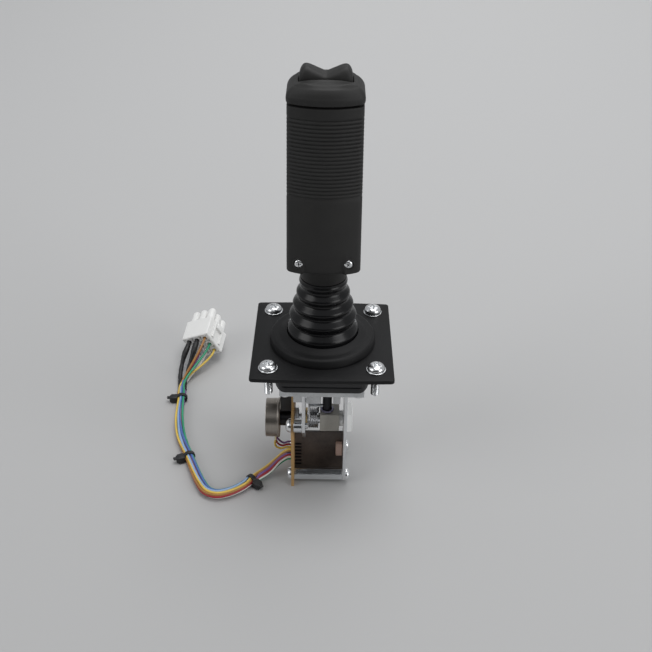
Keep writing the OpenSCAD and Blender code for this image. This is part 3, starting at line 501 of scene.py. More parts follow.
# %% The middle lines
harness_line = smooth_path([
    [-17.3, -8, -74], [-19.8, -8, -74.3], [-23.4, -7.8, -77.4], [-27, -7.8, -81.6], [-31, -9, -85.2],
    [-35.8, -11.8, -87.2], [-41, -16.5, -87.4], [-46.5, -22.5, -87.4], [-53, -27, -87.4], [-60, -29, -87.4],
    [-66, -26.5, -87.4], [-70.5, -19.5, -87.4], [-75, -9.5, -87.4], [-80.5, 4.4, -87.4], [-84.6, 14, -87.4],
    [-88.2, 25, -87.4], [-91, 40, -87.4], [-92, 52, -87.4], [-92.5, 62, -87.4], [-93.5, 72, -87.4]], 150)
left_line = smooth_path([[-95.1, 72, -88.4], [-96.2, 80, -88.4], [-97, 87, -87.2], [-96.6, 93.5, -83.6],
                         [-95.2, 98.5, -78.6], [-93.6, 102.6, -75.4], [-92.7, 107.5, -74]], 60)
right_line = smooth_path([[-92.2, 72, -88.4], [-93, 80, -88.4], [-92.6, 87, -87.2], [-91, 93, -82.4],
                          [-89, 97.5, -76.4], [-87.7, 101.5, -72.8], [-87, 106.2, -71.4]], 60)
tie_points = np.array([[-41, -16.5, -87.4], [-80.5, 4.4, -87.4], [-92.5, 62, -87.4]])
plug_at = np.array([-84.2, 107.4, -76.8])
pitch = 6.35


def about(axis, degrees):
    """The turn by so many degrees about X, Y or Z, as a 3 by 3 array."""
    return np.array(Matrix.Rotation(math.radians(degrees), 3, axis))


plug_lay = about("Z", -7) @ about("X", 14) @ about("Y", -25)
into_plug = plug_lay @ np.array([0, 1.0, 0])


def hole(i, j, deep=0.0):
    """The mouth of the plug's hole in column i and row j, or a point deep millimetres inside it."""
    return plug_at + plug_lay @ np.array([i * pitch, deep, j * pitch])


lengths = [float(np.linalg.norm(np.diff(p, axis=0), axis=1).sum()) for p in (harness_line, left_line, right_line)]
print("bundle and sleeved legs, mm:", np.round(lengths, 1))


# %% Insulation
def insulation(name, colour, gloss=0.5):
    """Smooth coloured PVC with a faint drift of shade."""
    return finish("wire_" + name, colour, 0.36, grain=900, height=0.01, drift=0.1, drift_scale=70, gloss=gloss)


wire_looks = {name: insulation(name, colour) for name, colour in {
    "yellow": (0.78, 0.55, 0.10), "brown": (0.40, 0.19, 0.05), "violet": (0.21, 0.11, 0.30),
    "dark_red": (0.36, 0.02, 0.03), "white": (0.84, 0.83, 0.78), "green": (0.03, 0.33, 0.17),
    "blue": (0.08, 0.15, 0.42), "light_blue": (0.30, 0.45, 0.68), "pink": (0.74, 0.36, 0.42),
    "black": (0.015, 0.015, 0.016)}.items()}

# %% Where each wire lies in the bundle
wire_d = 1.5
run = np.concatenate([[0], np.cumsum(np.linalg.norm(np.diff(harness_line, axis=0), axis=1))])
tie_run = np.array([run[np.argmin(np.linalg.norm(harness_line - p, axis=1))] for p in tie_points])
# slack is 0 at each tie and at the far end, and 1 half way between two of them
stops = np.concatenate([[0], tie_run, [run[-1]]])
part_of = np.clip(np.searchsorted(stops, run, side="right") - 1, 0, len(stops) - 2)
slack = np.sin(np.pi * (run - stops[part_of]) / (stops[part_of + 1] - stops[part_of])) ** 2
side, lift = np.cross(frames(harness_line)[0], [0, 0, 1.0]), np.array([0, 0, 1.0])
side /= np.linalg.norm(side, axis=1)[:, None]

# name: angle before the first tie and after it, distance from the middle, height at the board, and its hole
wires = {"yellow": (55, 108, 2.1, 3.4, (1, -1)), "brown": (86, 140, 2.1, 2.3, (1, 1)),
         "violet": (118, 262, 2.1, 1.1, (-1, 0)), "dark_red": (150, 172, 2.1, 0.0, (0, 0)),
         "white": (183, 206, 2.1, -1.6, (0, -1)), "green": (218, 5, 2.1, -3.2, (1, 0)),
         "blue": (262, 38, 2.1, -0.6, (-1, -1)), "light_blue": (330, 72, 2.1, -2.4, None),
         "pink": (0, 0, 0.5, 0.6, None), "black": (180, 180, 0.6, 1.7, None)}


print("ties at", np.round(tie_run, 1), "mm along the bundle; the rest of it drifts between them")

# %% Ten wires
twist, sway, fan_out = 0.3, 14.0, 24.0  # degrees per millimetre, degrees, and millimetres from the board


def wire_path(first, angle, out, high, target):
    """A line round the bundle's own: p + side * out * cos(turn) + up * out * sin(turn), then to its hole."""
    s = np.clip((run - tie_run.min() + 6) / 12, 0, 1)
    settled = s * s * (3 - 2 * s)
    wander = (angle - first + 180) % 360 - 180 + twist * run + sway * np.sin(run / 19 + angle)
    turn = np.radians(first + settled * wander)
    loose = out * (1 + 0.30 * slack * (0.4 + 0.6 * np.sin(angle * 1.7 + run / 31) ** 2))
    wide, tall = (loose * np.cos(turn))[:, None], (out * np.sin(turn))[:, None]
    start = np.clip(1 - run / fan_out, 0, 1)[:, None] ** 1.5
    inside = harness_line + side * wide + lift * tall * 0.9
    at_board = harness_line + lift * high + side * wide * 0.3
    path = inside * (1 - start) + at_board * start
    if target is None:
        return path
    mouth, deep, s = hole(*target), hole(*target, 5.0), np.linspace(0, 1, 30)[1:, None]
    reach = 0.9 * np.linalg.norm(mouth - path[-1])
    away = (path[-1] - path[-3]) / np.linalg.norm(path[-1] - path[-3])
    curve = ((2 * s ** 3 - 3 * s ** 2 + 1) * path[-1] + (s ** 3 - 2 * s ** 2 + s) * reach * away
             + (3 * s ** 2 - 2 * s ** 3) * mouth + (s ** 3 - s ** 2) * reach * into_plug)
    return np.vstack([path, curve, np.linspace(mouth, deep, 5)[1:]])


def keep_up(path, radius):
    """No point of a wire goes below the bench."""
    path = path.copy()
    path[:, 2] = np.maximum(path[:, 2], floor_z + radius + 0.05)
    return path


wire_paths = {n: keep_up(wire_path(*w), wire_d / 2) for n, w in wires.items()}
wire_pieces = {n: piece(f"{n}_wire", tube(p, wire_d / 2, 10), wire_looks[n], "base", crease=80)
               for n, p in wire_paths.items()}
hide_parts("harness", "loose_wires")


# %% Sleeved legs
def sleeving(line, thick):
    """Radius along a leg: 1.45 mm, 1.95 mm under the second layer near the plug, and small crinkles."""
    s = np.linspace(0, 1, len(line))
    doubled = 1 / (1 + np.exp(-(s - thick[0]) * 70)) - 1 / (1 + np.exp(-(s - thick[1]) * 70))
    return 1.45 + 0.5 * doubled + 0.07 * np.sin(s * 46) + 0.05 * np.sin(s * 91 + 1)


def leg(line, target, thick, name, node):
    """A sleeved leg from the last tie into its hole."""
    last = smooth_path([line[-9], line[-4], hole(*target) - 1.5 * into_plug, hole(*target, 3)], 16)
    line = keep_up(np.vstack([line[:-8], last[1:]]), 1.6)
    return line, piece(name, tube(line, sleeving(line, thick), 14), sleeve_black, "base", (node,), 80)


left_leg, left_piece = leg(left_line, (-1, 1), (0.62, 0.83), "left_leg", "left_sleeve")
right_leg, right_piece = leg(right_line, (0, 1), (0.64, 0.86), "right_leg", "right_sleeve")

# %% Sensor leads
lead_line = np.array([[-27.1, 0, -68.1], [-26.9, -0.2, -70.4], [-25.6, -0.6, -72.6], [-23, -1, -73.6],
                      [-20, -1, -72.6], [-17.3, -1, -72.6]])
lead_r, tag_pitch = 0.62, 1.7
for name, place_in_row in (("yellow", -1), ("dark_red", 0), ("violet", 1)):
    route = lead_line.copy()
    route[:, 0] += place_in_row * np.array([0, 0.5, 1.1, 0.9, 0.3, 0])
    route[:, 1] += place_in_row * tag_pitch * np.linspace(1.6, 0.5, len(route))
    route[:, 2] += place_in_row * np.linspace(0, 1.3, len(route))
    piece(f"{name}_lead", tube(smooth_path(route, 40), lead_r, 10), wire_looks[name], "base",
                        crease=80)
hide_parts("sensor_leads")


# %% Cable ties
def tie(point):
    """A band pulled round the bundle, a stepped head on its outer side and the stub of its tail."""
    near = np.argmin(np.linalg.norm(harness_line - point, axis=1))
    forward = frames(harness_line)[0][near]
    lay = np.stack([np.cross([0, 0, 1.0], forward), [0, 0, 1.0], forward], -1)
    a = np.linspace(0, 2 * np.pi, 48, endpoint=False)
    section = softened([[-0.55, -1.25], [0.55, -1.25], [0.55, 1.25], [-0.55, 1.25]], 0.3, 3, True)
    radius, run_along = 3.0 + section[:, :1], section[:, 1:2]
    rings = np.stack([radius * np.cos(a) * 1.04, radius * np.sin(a) * 0.96,
                      np.broadcast_to(run_along, (len(section), 48))], -1)
    head_x = 5.0
    shells = [loft(rings, "ring"), moved(box_shell([4.6, 4.4, 4.8], 0.7), (head_x, -0.4, 0)),
              moved(box_shell([1.2, 3.4, 3.6], 0.4), (head_x + 2.4, -0.4, 0)),
              moved(box_shell([3.0, 1.1, 2.2], 0.35), (head_x + 3.2, 0.5, 0))]
    return [moved(shell, harness_line[near], lay) for shell in shells]


ties = [tie(p) for p in tie_points]
tie_piece = piece("cable_tie_set", [shell for t in ties for shell in t], sleeve_black, "base",
                  ("cable_ties",))

# %% [markdown]
# ## The plug
# A nine-way housing of natural nylon: a square shell with rounded edges, nine round silos on
# its mating face, a locking ramp between two ribs on one side and nine wire holes at the back.
# Natural nylon lets a little light through, so thin walls glow slightly.

# %% The nine-way plug
nylon_plug = finish("nylon_plug", (0.90, 0.90, 0.885), 0.33, grain=500, height=0.006, drift=0.02, rough_drift=0.05,
                    see=0.12)
shell_w, shell_l, silo_l, silo_r, shell_edge = 20.6, 17.0, 10.0, 2.9, 0.9


def square_ring(half, corner, y, n=10):
    """A rounded square of points at depth y, half wide each way."""
    a = np.linspace(0, np.pi / 2, n)
    quarter = np.stack([np.cos(a), np.sin(a)], -1) * corner + (half - corner)
    turns = [np.array([[1, 0], [0, 1]]), np.array([[0, -1], [1, 0]]), np.array([[-1, 0], [0, -1]]),
             np.array([[0, 1], [-1, 0]])]
    xz = np.vstack([quarter @ t.T for t in turns])
    return np.stack([xz[:, 0], np.full(len(xz), y), xz[:, 1]], -1)


half_shell, silo_top = shell_w / 2, shell_l + silo_l
rims = [(1.6, 0.6, 1.6), (1.5, 0.6, 0.0), (0.5, shell_edge, 0.0), (0.0, shell_edge, 0.6),
        (0.0, shell_edge, shell_l - 0.6), (0.5, shell_edge, shell_l), (1.2, shell_edge, shell_l)]
shell = loft(np.array([square_ring(half_shell - inset, corner, y) for inset, corner, y in rims]))
silo_line = softened([[2.3, shell_l - 0.3], [silo_r, shell_l - 0.3], [silo_r, silo_top - 1.6],
                      [silo_r - 0.75, silo_top], [1.45, silo_top], [1.35, shell_l + 2.0]], 0.4)
collar_line = softened([[1.55, 1.0], [1.55, -0.05], [2.75, -0.05], [2.95, 0.5], [2.95, 1.7], [1.55, 1.7]], 0.2, 3, True)
tip_line = softened([[0, silo_top - 1.4], [0.7, silo_top - 1.7], [0.95, silo_top - 2.6], [0.95, 4], [0, 4]], 0.3)
places = [(i * pitch, 0, j * pitch) for i in (-1, 0, 1) for j in (-1, 0, 1)]
silos = [moved(turned(silo_line, 32), at, "Y") for at in places]
wells = [moved(turned(collar_line, 32, "ring"), at, "Y") for at in places]
tips = [moved(turned(tip_line, 20), at, "Y") for at in places]
ribs = [moved(box_shell([1.4, shell_l - 3, 1.6], 0.4), (half_shell + 0.5, shell_l / 2 + 0.6, z)) for z in (-4.2, 4.2)]
ramp = moved(box_shell([2.2, 5.0, 6.2], 0.8), (half_shell + 0.7, shell_l - 3.4, 0))
plug_shells = [shell] + silos + wells + ribs + [ramp]
plug = piece("nine_way_plug", [(p @ plug_lay.T + plug_at, f) for p, f in plug_shells], nylon_plug, "base",
             ("connector",))
contacts = piece("plug_contacts", [(p @ plug_lay.T + plug_at, f) for p, f in tips], tinned, "base",
                 ("connector_contacts",))


def declare(path):
    """Returns a cord's own length, in metres, measured on the line it was made from."""
    metres = np.asarray(path) * MM
    length = float(np.linalg.norm(np.diff(metres, axis=0), axis=1).sum())
    return length


for name, obj in wire_pieces.items():
    made = declare(wire_paths[name])
    print(f"{name} wire: {made * 1000:.0f} mm")
for obj, line in ((left_piece, left_leg), (right_piece, right_leg)):
    print(obj.name, f"{declare(line) * 1000:.0f} mm")

# %% [markdown]
# ## Plate, screws and boot
# The plate is a moulded square with a round mouth; its front and back edges bow out a little,
# and the washers cover its four holes. The four screws are zinc-plated pan heads with a cross
# recess, each over a washer, with a rolled thread below. The round flange climbs a little
# towards the boot. The boot is one turned profile whose folds shrink towards the lever; it
# stays where it is made and rides on neither the plate nor the lever.

# %% The square plate
plate_high = span("mounting_plate")[1]
plate_half, plate_top, plate_mouth = plate_high[0], plate_high[2], 21.0
a = np.linspace(0, 2 * np.pi, 240, endpoint=False) + np.pi / 240


def plate_ring(inset, z, bow=0.0, corner=1.2):
    """A square, the points where max(|x|, |y|) is its half width, with its corners drawn in to arcs, bowed in y."""
    flat = np.maximum(np.abs(np.cos(a)), np.abs(np.sin(a)))
    x, y = np.cos(a) / flat * plate_half, np.sin(a) / flat * plate_half
    keep = plate_half - corner
    over = np.stack([np.maximum(np.abs(x) - keep, 0), np.maximum(np.abs(y) - keep, 0)], -1)
    size = np.maximum(np.linalg.norm(over, axis=1), 1e-9)
    both = (over.min(axis=1) > 0)
    scale = np.where(both, np.minimum(1, corner / size), 1)
    x = np.where(both, np.sign(x) * (keep + over[:, 0] * scale), x)
    y = np.where(both, np.sign(y) * (keep + over[:, 1] * scale), y)
    x, y = x * (1 - inset / plate_half), y * (1 - inset / plate_half)
    y = y + np.sign(y) * (np.abs(y) > keep * 0.9) * bow * (1 - (x / plate_half) ** 2)
    return np.stack([x, y, np.full(len(a), z)], -1)


def circle_ring(radius, z):
    """A circle with the same number of points as the plate's outline."""
    return np.stack([radius * np.cos(a), radius * np.sin(a), np.full(len(a), z)], -1)


bow = 0.9
plate_rings = [circle_ring(plate_mouth, plate_top), plate_ring(6, plate_top, bow * 0.7),
               plate_ring(0.45, plate_top, bow), plate_ring(0.12, plate_top - 0.12, bow),
               plate_ring(0.0, plate_top - 0.45, bow), plate_ring(0.0, 0.35, bow),
               plate_ring(0.3, 0.0, bow), circle_ring(plate_mouth, 0.0)]
piece("panel_plate", loft(np.array(plate_rings), "ring"), plate_black, "base",
      ("mounting_plate",), crease=50)


# %% A pan head with a cross recess
def pan_head(radius, high, turn=0.0, depth=0.62, n=30, around=80):
    """Height h (1 - (r/R)^3.2)^0.42 over a disc, less a cross whose arms slope down to its middle."""
    r = np.linspace(0.02, 1, n)[:, None]
    t = np.linspace(0, 2 * np.pi, around, endpoint=False)[None, :]
    dome = high * (1 - np.minimum(r, 0.9995) ** 3.2) ** 0.42 + 0 * t
    x, y = r * np.cos(t), r * np.sin(t)
    arm = np.minimum(np.maximum(np.abs(x) - 0.56, np.abs(y) - 0.105), np.maximum(np.abs(y) - 0.56, np.abs(x) - 0.105))
    sunk = np.clip(-arm / 0.05, 0, 1)
    dome = dome - sunk * high * depth * (1.05 - 0.9 * r)
    top = np.stack([radius * x, radius * y, dome], -1)
    rim = np.stack([radius * np.cos(t), radius * np.sin(t), np.full_like(t, -0.02)], -1)
    return moved(loft(np.concatenate([top, rim])), turn=turn)


# %% A rolled thread
def thread(radius, length, thread_pitch=0.8, around=28, plain=0.0):
    """r = R - d |2 frac(z/p - a/2pi) - 1| on the lower part of a shank that hangs from z = 0, with a blunt tip."""
    z = np.linspace(0, -length, int(length / thread_pitch * 8))[:, None]
    t = np.linspace(0, 2 * np.pi, around, endpoint=False)[None, :]
    saw = np.abs(2 * ((z / thread_pitch - t / (2 * np.pi)) % 1) - 1)
    cut = np.clip((-z - plain) / 0.6, 0, 1)
    r = radius - 0.42 * saw * cut - 0.5 * np.clip((-z - length + 0.7) / 0.7, 0, 1)
    return loft(np.stack([r * np.cos(t), r * np.sin(t), z + 0 * t], -1))


# %% The four panel screws and their washers
spread, head_r, hang = 57.15 / 2, 4.75, 13.5
washer_top = span("panel_washers")[1][2]
screw_shells, washer_shells = [], []
ring = softened([[2.7, plate_top], [5.25, plate_top], [5.25, washer_top], [2.7, washer_top]], 0.2, 3, True)
for sx, sy, cross_turn, lifted in ((-1, -1, 20, 0), (1, -1, 65, 0), (-1, 1, 38, 0), (1, 1, 8, 0.5)):
    at = (sx * spread, sy * spread, washer_top + lifted)
    screw_shells += [moved(pan_head(head_r, 3.0, turn=cross_turn), at),
                     moved(thread(2.35, 3.2 + hang + lifted, plain=3.4), at)]
    washer_shells.append(moved(turned(ring, 56, "ring"), (sx * spread, sy * spread, 0)))
piece("panel_screw_set", screw_shells, zinc, "base", ("panel_screws",))
piece("panel_washer_set", washer_shells, zinc, "base", ("panel_washers",))

# %% The round flange
flange_top = span("boot_flange")[1][2]
flange_line = softened([[19.4, plate_top + 0.02], [29.2, plate_top + 0.02], [28.9, plate_top + 1.9],
                        [28.2, flange_top - 0.6], [27.0, flange_top], [24.0, flange_top + 0.3],
                        [19.9, flange_top + 2.0], [19.5, flange_top + 1.9], [19.4, flange_top - 0.3]],
                       0.8, 5, True)
piece("round_flange", turned(flange_line, 160, "ring"), plate_black, "base", ("boot_flange",))

# %% The folded boot
boot_top = 43.2
folds = np.array([[19.6, 0.12], [16.4, 0.235], [18.7, 0.345], [15.1, 0.455], [16.8, 0.55], [13.3, 0.65],
                  [14.8, 0.745], [11.9, 0.84]])
fold_z = flange_top + folds[:, 1] * (boot_top - flange_top)
outer = [[19.3, flange_top - 1.5], [19.38, flange_top + 0.2], [19.2, flange_top + 2.0]]
outer = softened(outer + np.stack([folds[:, 0], fold_z], -1).tolist()
                 + [[13.1, boot_top - 2.3], [12.6, boot_top - 1.2], [12.4, boot_top]], 1.5, 9)
inner = outer[::-1] - np.array([1.5, 0])
boot_rings = np.vstack([outer, [[10.4, boot_top]], inner[4:]])
piece("rubber_boot", turned(boot_rings, 160, "ring"), rubber_black, None, ("bellows_boot",), crease=60,
      fold=("base", "lever", (0, 0, (flange_top + 0.5) * MM), (0, 0, (boot_top - 5.5) * MM)))

# %% [markdown]
# ## The hand grip
# One function gives a ring of the grip's section: curved front and back faces, flat sides and
# four rounded upright edges, each an arc that meets the next without a corner. The grip is that
# section lofted upwards, with twenty ribs as a wave in the inset and a shallow scoop in the lower
# front. The cap repeats the section, rolls over its shoulders and drops into the pocket where the
# rocker sits; in front of the rocker there is a shallow thumb dish.

# %% The section of the grip
grip_low, grip_high = span("grip")
grip_z, grip_top, neck_z = 51.1, grip_high[2], grip_low[2]
half_deep, face_r, edge_r = 15.0, 39.0, 4.0


def grip_ring(z, half, inset=0.0, scoop=0.0, dx=0.0, dy=0.0):
    """Arcs about (0, -shift) and the corner centres, shrunk by dx and dy; scoop sinks the middle of the faces."""
    r = max(edge_r - inset, 0.3)
    shift, cx, reach = face_r - half_deep, half - inset - r, face_r - inset - r
    cy = math.sqrt(reach ** 2 - cx ** 2) - shift
    lean = math.asin(cx / reach)
    c = np.linspace(0, math.pi / 2 - lean, 10)
    f = np.linspace(math.pi / 2 - lean, math.pi / 2 + lean, 70)[1:-1]
    d = np.linspace(math.pi / 2 + lean, math.pi, 10)
    side = np.linspace(1, -1, 16)[1:-1]
    x = np.concatenate([cx + r * np.cos(c), (face_r - inset) * np.cos(f), -cx + r * np.cos(d),
                        np.full(len(side), -cx - r)])
    y = np.concatenate([cy + r * np.sin(c), (face_r - inset) * np.sin(f) - shift, cy + r * np.sin(d), cy * side])
    x, y = np.concatenate([x, -x]), np.concatenate([y, -y])
    sunk = scoop * np.clip((11.2 - np.abs(x)) / 1.6, 0, 1) ** 0.7 * (np.abs(y) > 6)
    return np.stack([x * (1 - dx / half), (y - np.sign(y) * sunk) * (1 - dy / half_deep), np.full(len(x), z)], -1)


around_grip = grip_ring(0, 19.2)
theta = np.arctan2(around_grip[:, 1], around_grip[:, 0])


def round_ring(radius, z):
    """A circle with as many points as the section, at the same angles."""
    return np.stack([radius * np.cos(theta), radius * np.sin(theta), np.full(len(theta), z)], -1)


def half_at(z):
    """The half width tapers from the lower end to the top."""
    return 19.2 - 0.8 * (z - grip_z) / (grip_top - grip_z)


print("points in a ring of the grip:", len(theta))

# %% The ribbed grip
rib_count, rib_pitch, rib_depth, scoop_depth = 20, 1.98, 0.62, 1.9
rib_top = grip_top - 6.0
rib_low = rib_top - rib_count * rib_pitch
heights = np.concatenate([np.linspace(grip_z + 0.45, rib_low, 26, endpoint=False),
                          np.linspace(rib_low, rib_top, rib_count * 9, endpoint=False),
                          np.linspace(rib_top, grip_top - 0.4, 8)])
wave = (heights - rib_low) / rib_pitch
groove = rib_depth * np.abs(np.cos(np.pi * wave)) ** 5 * ((heights >= rib_low - 0.01) & (heights <= rib_top + 0.3))
scoops = scoop_depth * np.clip((62.3 - heights) / 11.2, 0, 1) ** 0.85
outer_rings = [grip_ring(z, half_at(z), g, q) for z, g, q in zip(heights, groove, scoops)]
neck = [round_ring(r, z) for r, z in ((10.4, neck_z), (12.0, neck_z), (12.3, neck_z + 0.3), (12.3, grip_z - 0.4),
                                      (12.6, grip_z))]
neck += [grip_ring(grip_z + up, half_at(grip_z), inset, scoop_depth) for up, inset in ((0, 0.5), (0.15, 0.15))]
rim = [grip_ring(grip_top - down, half_at(grip_top), inset)
       for down, inset in ((0.1, 0.1), (0, 0.4), (0, 2.3), (9, 2.5))]
piece("ribbed_grip", loft(np.array(neck + outer_rings + rim)), grip_black, "lever", ("grip",), crease=50)

# %% Grip screws in their seats
seat_z, seat_x = 57.1, 12.7
seat_y = math.sqrt(face_r ** 2 - seat_x ** 2) - face_r + half_deep
seat_shells, small_screws = [], []
lip = softened([[2.55, -1.0], [3.35, -1.0], [3.35, 0.1], [3.15, 0.25], [2.75, 0.25], [2.55, 0.0]], 0.12, 3, True)
for sx in (-1, 1):
    for sy, axis in ((-1, "-Y"), (1, "Y")):
        at = (sx * seat_x, sy * (seat_y - 0.1), seat_z)
        seat_shells.append(moved(turned(lip, 48, "ring"), at, axis))
        sunk = (sx * seat_x, sy * (seat_y - 0.85), seat_z)
        small_screws += [moved(pan_head(2.4, 1.5, turn=30 + 25 * sx), sunk, axis),
                         moved(thread(1.45, 6, 0.5), sunk, axis)]
piece("grip_screw_seats", seat_shells, grip_black, "lever")
piece("grip_screw_set", small_screws, zinc, "lever", ("grip_screws",))

# %% The cap's shoulders and its top
cap_top, cap_half = span("grip_cap")[1][2], half_at(grip_top)
cap_z = cap_top - 10.8
steep = 0.55  # the front and the back rise this much more steeply than the sides
line = np.array([[-0.05, 0.3], [-0.3, 0.9], [-0.4, 2.2], [-0.3, 3.7], [0.5, 5.4], [1.6, 6.8], [3.2, 8.1], [5.6, 9.2],
                 [8.4, 9.95], [12.0, 10.45], [18.4, 10.8]])
fine = np.array([np.interp(np.linspace(0, 10, 61), np.arange(11), line[:, k]) for k in (0, 1)]).T
fine = np.stack([np.convolve(np.pad(fine[:, k], 4, "edge"), np.ones(9) / 9, "valid") for k in (0, 1)], -1)
rolled = fine[fine[:, 0] < 3.3]
shoulder_rings = [grip_ring(cap_z, cap_half, 2.4), grip_ring(cap_z, cap_half, 0.7)]
shoulder_rings += [grip_ring(cap_z + h, cap_half, 0, 0, inset, inset * (steep if inset > 0 else 1))
                   for inset, h in rolled]


def cap_height(x, y):
    """Soft minimum of the side profile at |x| and the front profile at |y|, less the thumb dish in front."""
    side = np.interp(cap_half - np.abs(x), fine[:, 0], fine[:, 1])
    front = np.interp((half_deep - np.abs(y)) / steep, fine[:, 0], fine[:, 1])
    q = (x / 11.0) ** 2 + ((y + 6.8) / 5.8) ** 2
    dish = 0.45 * np.clip(1 - q, 0, 1) ** 0.4 * np.clip((-6.6 - y) / 1.5, 0, 1)
    return cap_z + (side ** -40 + front ** -40) ** (-1 / 40) - dish


def pocket_ring(half_l, half_w, z=None):
    """A rounded rectangle, |x/a|^7 + |y/b|^7 = 1, at the section's angles; it lies on the cap unless z is given."""
    c, s = np.abs(np.cos(theta)) / half_l, np.abs(np.sin(theta)) / half_w
    r = (c ** 7 + s ** 7) ** (-1 / 7)
    x, y = r * np.cos(theta), r * np.sin(theta)
    return np.stack([x, y, cap_height(x, y) if z is None else np.full(len(theta), z)], -1)


print("the cap rises", round(float(cap_top - cap_z), 1), "mm above the joint")

# %% The pocket, and the cap in one piece
pocket_l, pocket_w = 13.1, 6.2
last, lip_ring = shoulder_rings[-1], pocket_ring(pocket_l + 0.35, pocket_w + 0.35)
blends = []
for t in np.linspace(0, 1, 18)[1:]:
    x, y = (last[:, 0] * (1 - t) + lip_ring[:, 0] * t), (last[:, 1] * (1 - t) + lip_ring[:, 1] * t)
    near = np.clip(t / 0.25, 0, 1)
    blends.append(np.stack([x, y, last[:, 2] * (1 - near) + cap_height(x, y) * near], -1))
inner_lip = pocket_ring(pocket_l, pocket_w)
inner_lip[:, 2] -= 0.3
pocket = [inner_lip] + [pocket_ring(*sizes, z) for sizes, z in (
    ((pocket_l, pocket_w), cap_top - 5.6), ((pocket_l - 0.4, pocket_w - 0.4), cap_top - 6), ((8.6, 2.2), cap_top - 6),
    ((8.6, 2.2), cap_top - 7.5), ((12.4, 5.6), cap_top - 7.6), ((13.5, 9.5), cap_z - 3))]
under = [grip_ring(cap_z - 3.0, cap_half, 2.9), grip_ring(cap_z - 0.1, cap_half, 2.6)]
piece("domed_cap", loft(np.array(under + shoulder_rings + blends + pocket), "ring"), grip_black, "lever",
      ("grip_cap",), crease=50)

# %% The thumb rocker
rock_low, rock_high = span("rocker")
lobe_top = rock_high[2]
rock_half, rock_wide = 12.75, 11.8
ridge = softened([[-10.4, rock_low[2] + 0.1], [-rock_half, cap_top - 1.5], [-rock_half + 0.3, cap_top + 1.6],
                  [-rock_half + 1.5, lobe_top - 0.9], [-9.9, lobe_top], [-8.0, lobe_top - 0.25],
                  [-0.6, cap_top + 1.25], [0.6, cap_top + 1.25], [8.0, lobe_top - 0.25],
                  [9.9, lobe_top], [rock_half - 1.5, lobe_top - 0.9], [rock_half - 0.3, cap_top + 1.6],
                  [rock_half, cap_top - 1.5], [10.4, rock_low[2] + 0.1]], 1.3, 7)
even = np.linspace(0, len(ridge) - 1, 160)
ridge = np.stack([np.interp(even, np.arange(len(ridge)), ridge[:, k]) for k in (0, 1)], -1)
ends = np.clip(1 - (np.abs(ridge[:, 0]) / 13.1) ** 9, 0.02, 1) ** 0.35
waist = 1 - 0.08 * np.exp(-(ridge[:, 0] / 3.6) ** 2)
half_w = rock_wide / 2 * ends * waist
b = np.linspace(0, 2 * np.pi, 72, endpoint=False)[None, :]
tall = (ridge[:, 1] - rock_low[2])[:, None]
# each ring is |y/w|^n + |z/h|^n = 1, soft-shouldered, standing on the rocker's underside
power = 2 / 3.6
ys = half_w[:, None] * np.sign(np.cos(b)) * np.abs(np.cos(b)) ** power
zs = rock_low[2] + tall * (0.5 + 0.5 * np.sign(np.sin(b)) * np.abs(np.sin(b)) ** power)
draft = 1 - 0.22 * np.clip((zs - cap_top) / (lobe_top - cap_top), 0, 1)
rocker_rings = np.stack([np.broadcast_to(ridge[:, :1], ys.shape), ys * draft, zs], -1)
piece("thumb_rocker", loft(rocker_rings), grip_black, "rocker", ("rocker",), crease=55)

# %% [markdown]
# ## The mechanism
# What hangs below the plate is made of small machined and moulded parts. Each flat-sided one is
# the measured solid with its edges rounded; the turned ones are turned again with finer edges.
# Screws are made by one function and set where the measured ones stand.

# %% Flat-sided parts with their edges rounded
eased_parts = [
    ("housing", 0.6, moulding_black, "black_moulding"), ("base_casting", 0.35, cast, "cast_metal"),
    ("left_side_plate", 0.22, sheet, "sheet_metal"), ("right_side_plate", 0.22, sheet, "sheet_metal"),
    ("control_board", 0.12, board_tan, "circuit_board"), ("cross_board", 0.12, board_dark, "dark_board"),
    ("terminal_block", 0.3, part_black, "black_moulding"), ("film_capacitor", 0.7, beige, "beige_part"),
    ("chip_set", 0.18, part_black, "black_moulding"), ("bearing_block", 0.5, nylon_white, "white_nylon"),
    ("lever_hub", 0.5, nylon_grey, "grey_nylon"), ("front_standoff", 0.3, bright, "bright_steel"),
    ("rear_standoff", 0.3, bright, "bright_steel"), ("sensor_back", 0.25, can_metal, "nickel_can"),
    ("sensor_nut", 0.25, bright, "bright_steel"), ("spring_anchor", 0.15, bright, "bright_steel"),
    ("spring_dog", 0.15, bright, "bright_steel"), ("tail_clip", 0.35, lilac, "bright_steel"),
    ("thrust_washers", 0.1, nylon_white, "white_nylon"), ("board_spacers", 0.25, bright, "bright_steel"),
    ("lever_tail", 0.25, steel_black, "black_steel"), ("pivot_shaft", 0.25, bright, "bright_steel"),
    ("casting_screws", 0.2, zinc, "zinc_steel")]
for node, width, look, slot in eased_parts:
    eased(node, width, look)
print(len(eased_parts), "parts with eased edges")

# %% The sensor's can, with its rolled rim
can_low, can_high = span("sensor_can")
pivot_z, can_r = (can_low[2] + can_high[2]) / 2, (can_high[2] - can_low[2]) / 2
can_l = can_high[0] - can_low[0]
can_line = softened([[10.7, 0.6], [10.9, 0.0], [can_r - 0.35, 0.0], [can_r - 0.3, can_l - 1.2], [can_r, can_l - 1.1],
                     [can_r, can_l - 0.1], [can_r - 0.5, can_l], [4.9, can_l], [4.9, can_l - 1.1], [10.7, can_l - 1.1]],
                    0.3, 4, True)
piece("sensor_housing", moved(turned(can_line, 120, "ring"), (can_low[0], 0, pivot_z), "X"), can_metal, "base",
      ("sensor_can",))


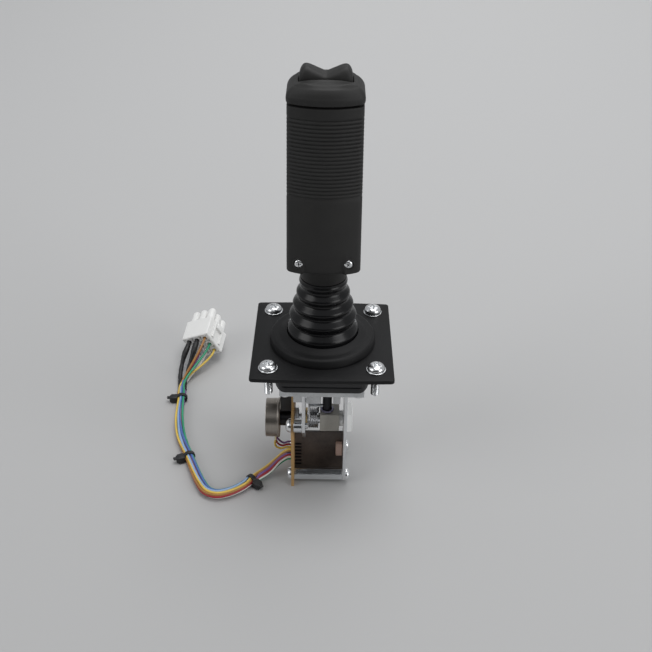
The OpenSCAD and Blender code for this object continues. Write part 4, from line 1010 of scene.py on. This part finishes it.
# %% Screws where the measured ones stand
def solids_of(node):
    """The corners, in millimetres, of every separate solid of a node, by letting low vertex numbers spread."""
    mesh = NODES[node].data
    points = np.empty(len(mesh.vertices) * 3, np.float32)
    mesh.vertices.foreach_get("co", points)
    place_of = NODES[node].matrix_world
    points = points.reshape(-1, 3) @ np.array(place_of.to_3x3()).T + np.array(place_of.translation)
    _, same = np.unique(np.round(points, 6), axis=0, return_inverse=True)
    edges = np.empty(len(mesh.edges) * 2, np.int32)
    mesh.edges.foreach_get("vertices", edges)
    a, b = same.ravel()[edges.reshape(-1, 2)].T
    label = np.arange(same.max() + 1)
    for _ in range(200):
        least = np.minimum(label[a], label[b])
        before = label.copy()
        np.minimum.at(label, a, least)
        np.minimum.at(label, b, least)
        label = label[label]
        if (label == before).all():
            break
    label = label[same.ravel()]
    return [(points[label == k].min(0) * 1000, points[label == k].max(0) * 1000) for k in np.unique(label)]


def screws(name, node, axis, head_d, head_h, shank_d):
    """A pan head and a threaded shank for every solid of the node; axis is the way a head faces."""
    shells = []
    for k, (low, high) in enumerate(solids_of(node)):
        size, mid = high - low, (low + high) / 2
        way = axis(low, high) if callable(axis) else axis
        n = "XYZ".index(way[-1])
        seat = mid.copy()
        seat[n] = low[n] + head_h if way[0] == "-" else high[n] - head_h
        shells.append(moved(pan_head(head_d / 2, head_h, turn=23 + 41 * k), seat, way))
        shells.append(moved(thread(shank_d / 2, size[n] - head_h, 0.6, 20), seat, way))
    return piece(name, shells, zinc, "base", (node,))


screws("side_screw_set", "side_plate_screws",
       lambda low, high: "X" if high[0] - low[0] > high[2] - low[2] else "-Z", 5.4, 2.0, 3.0)
screws("standoff_screw_set", "standoff_screws", lambda low, high: "-X" if low[0] < 0 else "X", 7.4, 2.8, 4.0)
screws("board_screw_set", "board_screws", "-X", 8.0, 3.0, 4.0)

# %% Small parts that keep their measured shape
# The sensor bush is bright metal but takes the dark steel finish, which darkens the region below the sensor.
plain = {"header_pins": steel_black, "sensor_bush": steel_black, "sensor_track": board_dark, "sensor_terminals": tinned,
         "left_bush": bronze, "centring_spring": spring_wire, "sensor_wiper": bronze, "lever_rod": steel_black,
         "grip_core": sheet, "rocker_pin": bright, "thumb_switch": part_black, "left_plunger": red_plastic,
         "right_plunger": red_plastic}
for node, look in plain.items():
    for k in range(len(NODES[node].material_slots)):
        NODES[node].material_slots[k].material = look
print(len(plain), "plain parts")
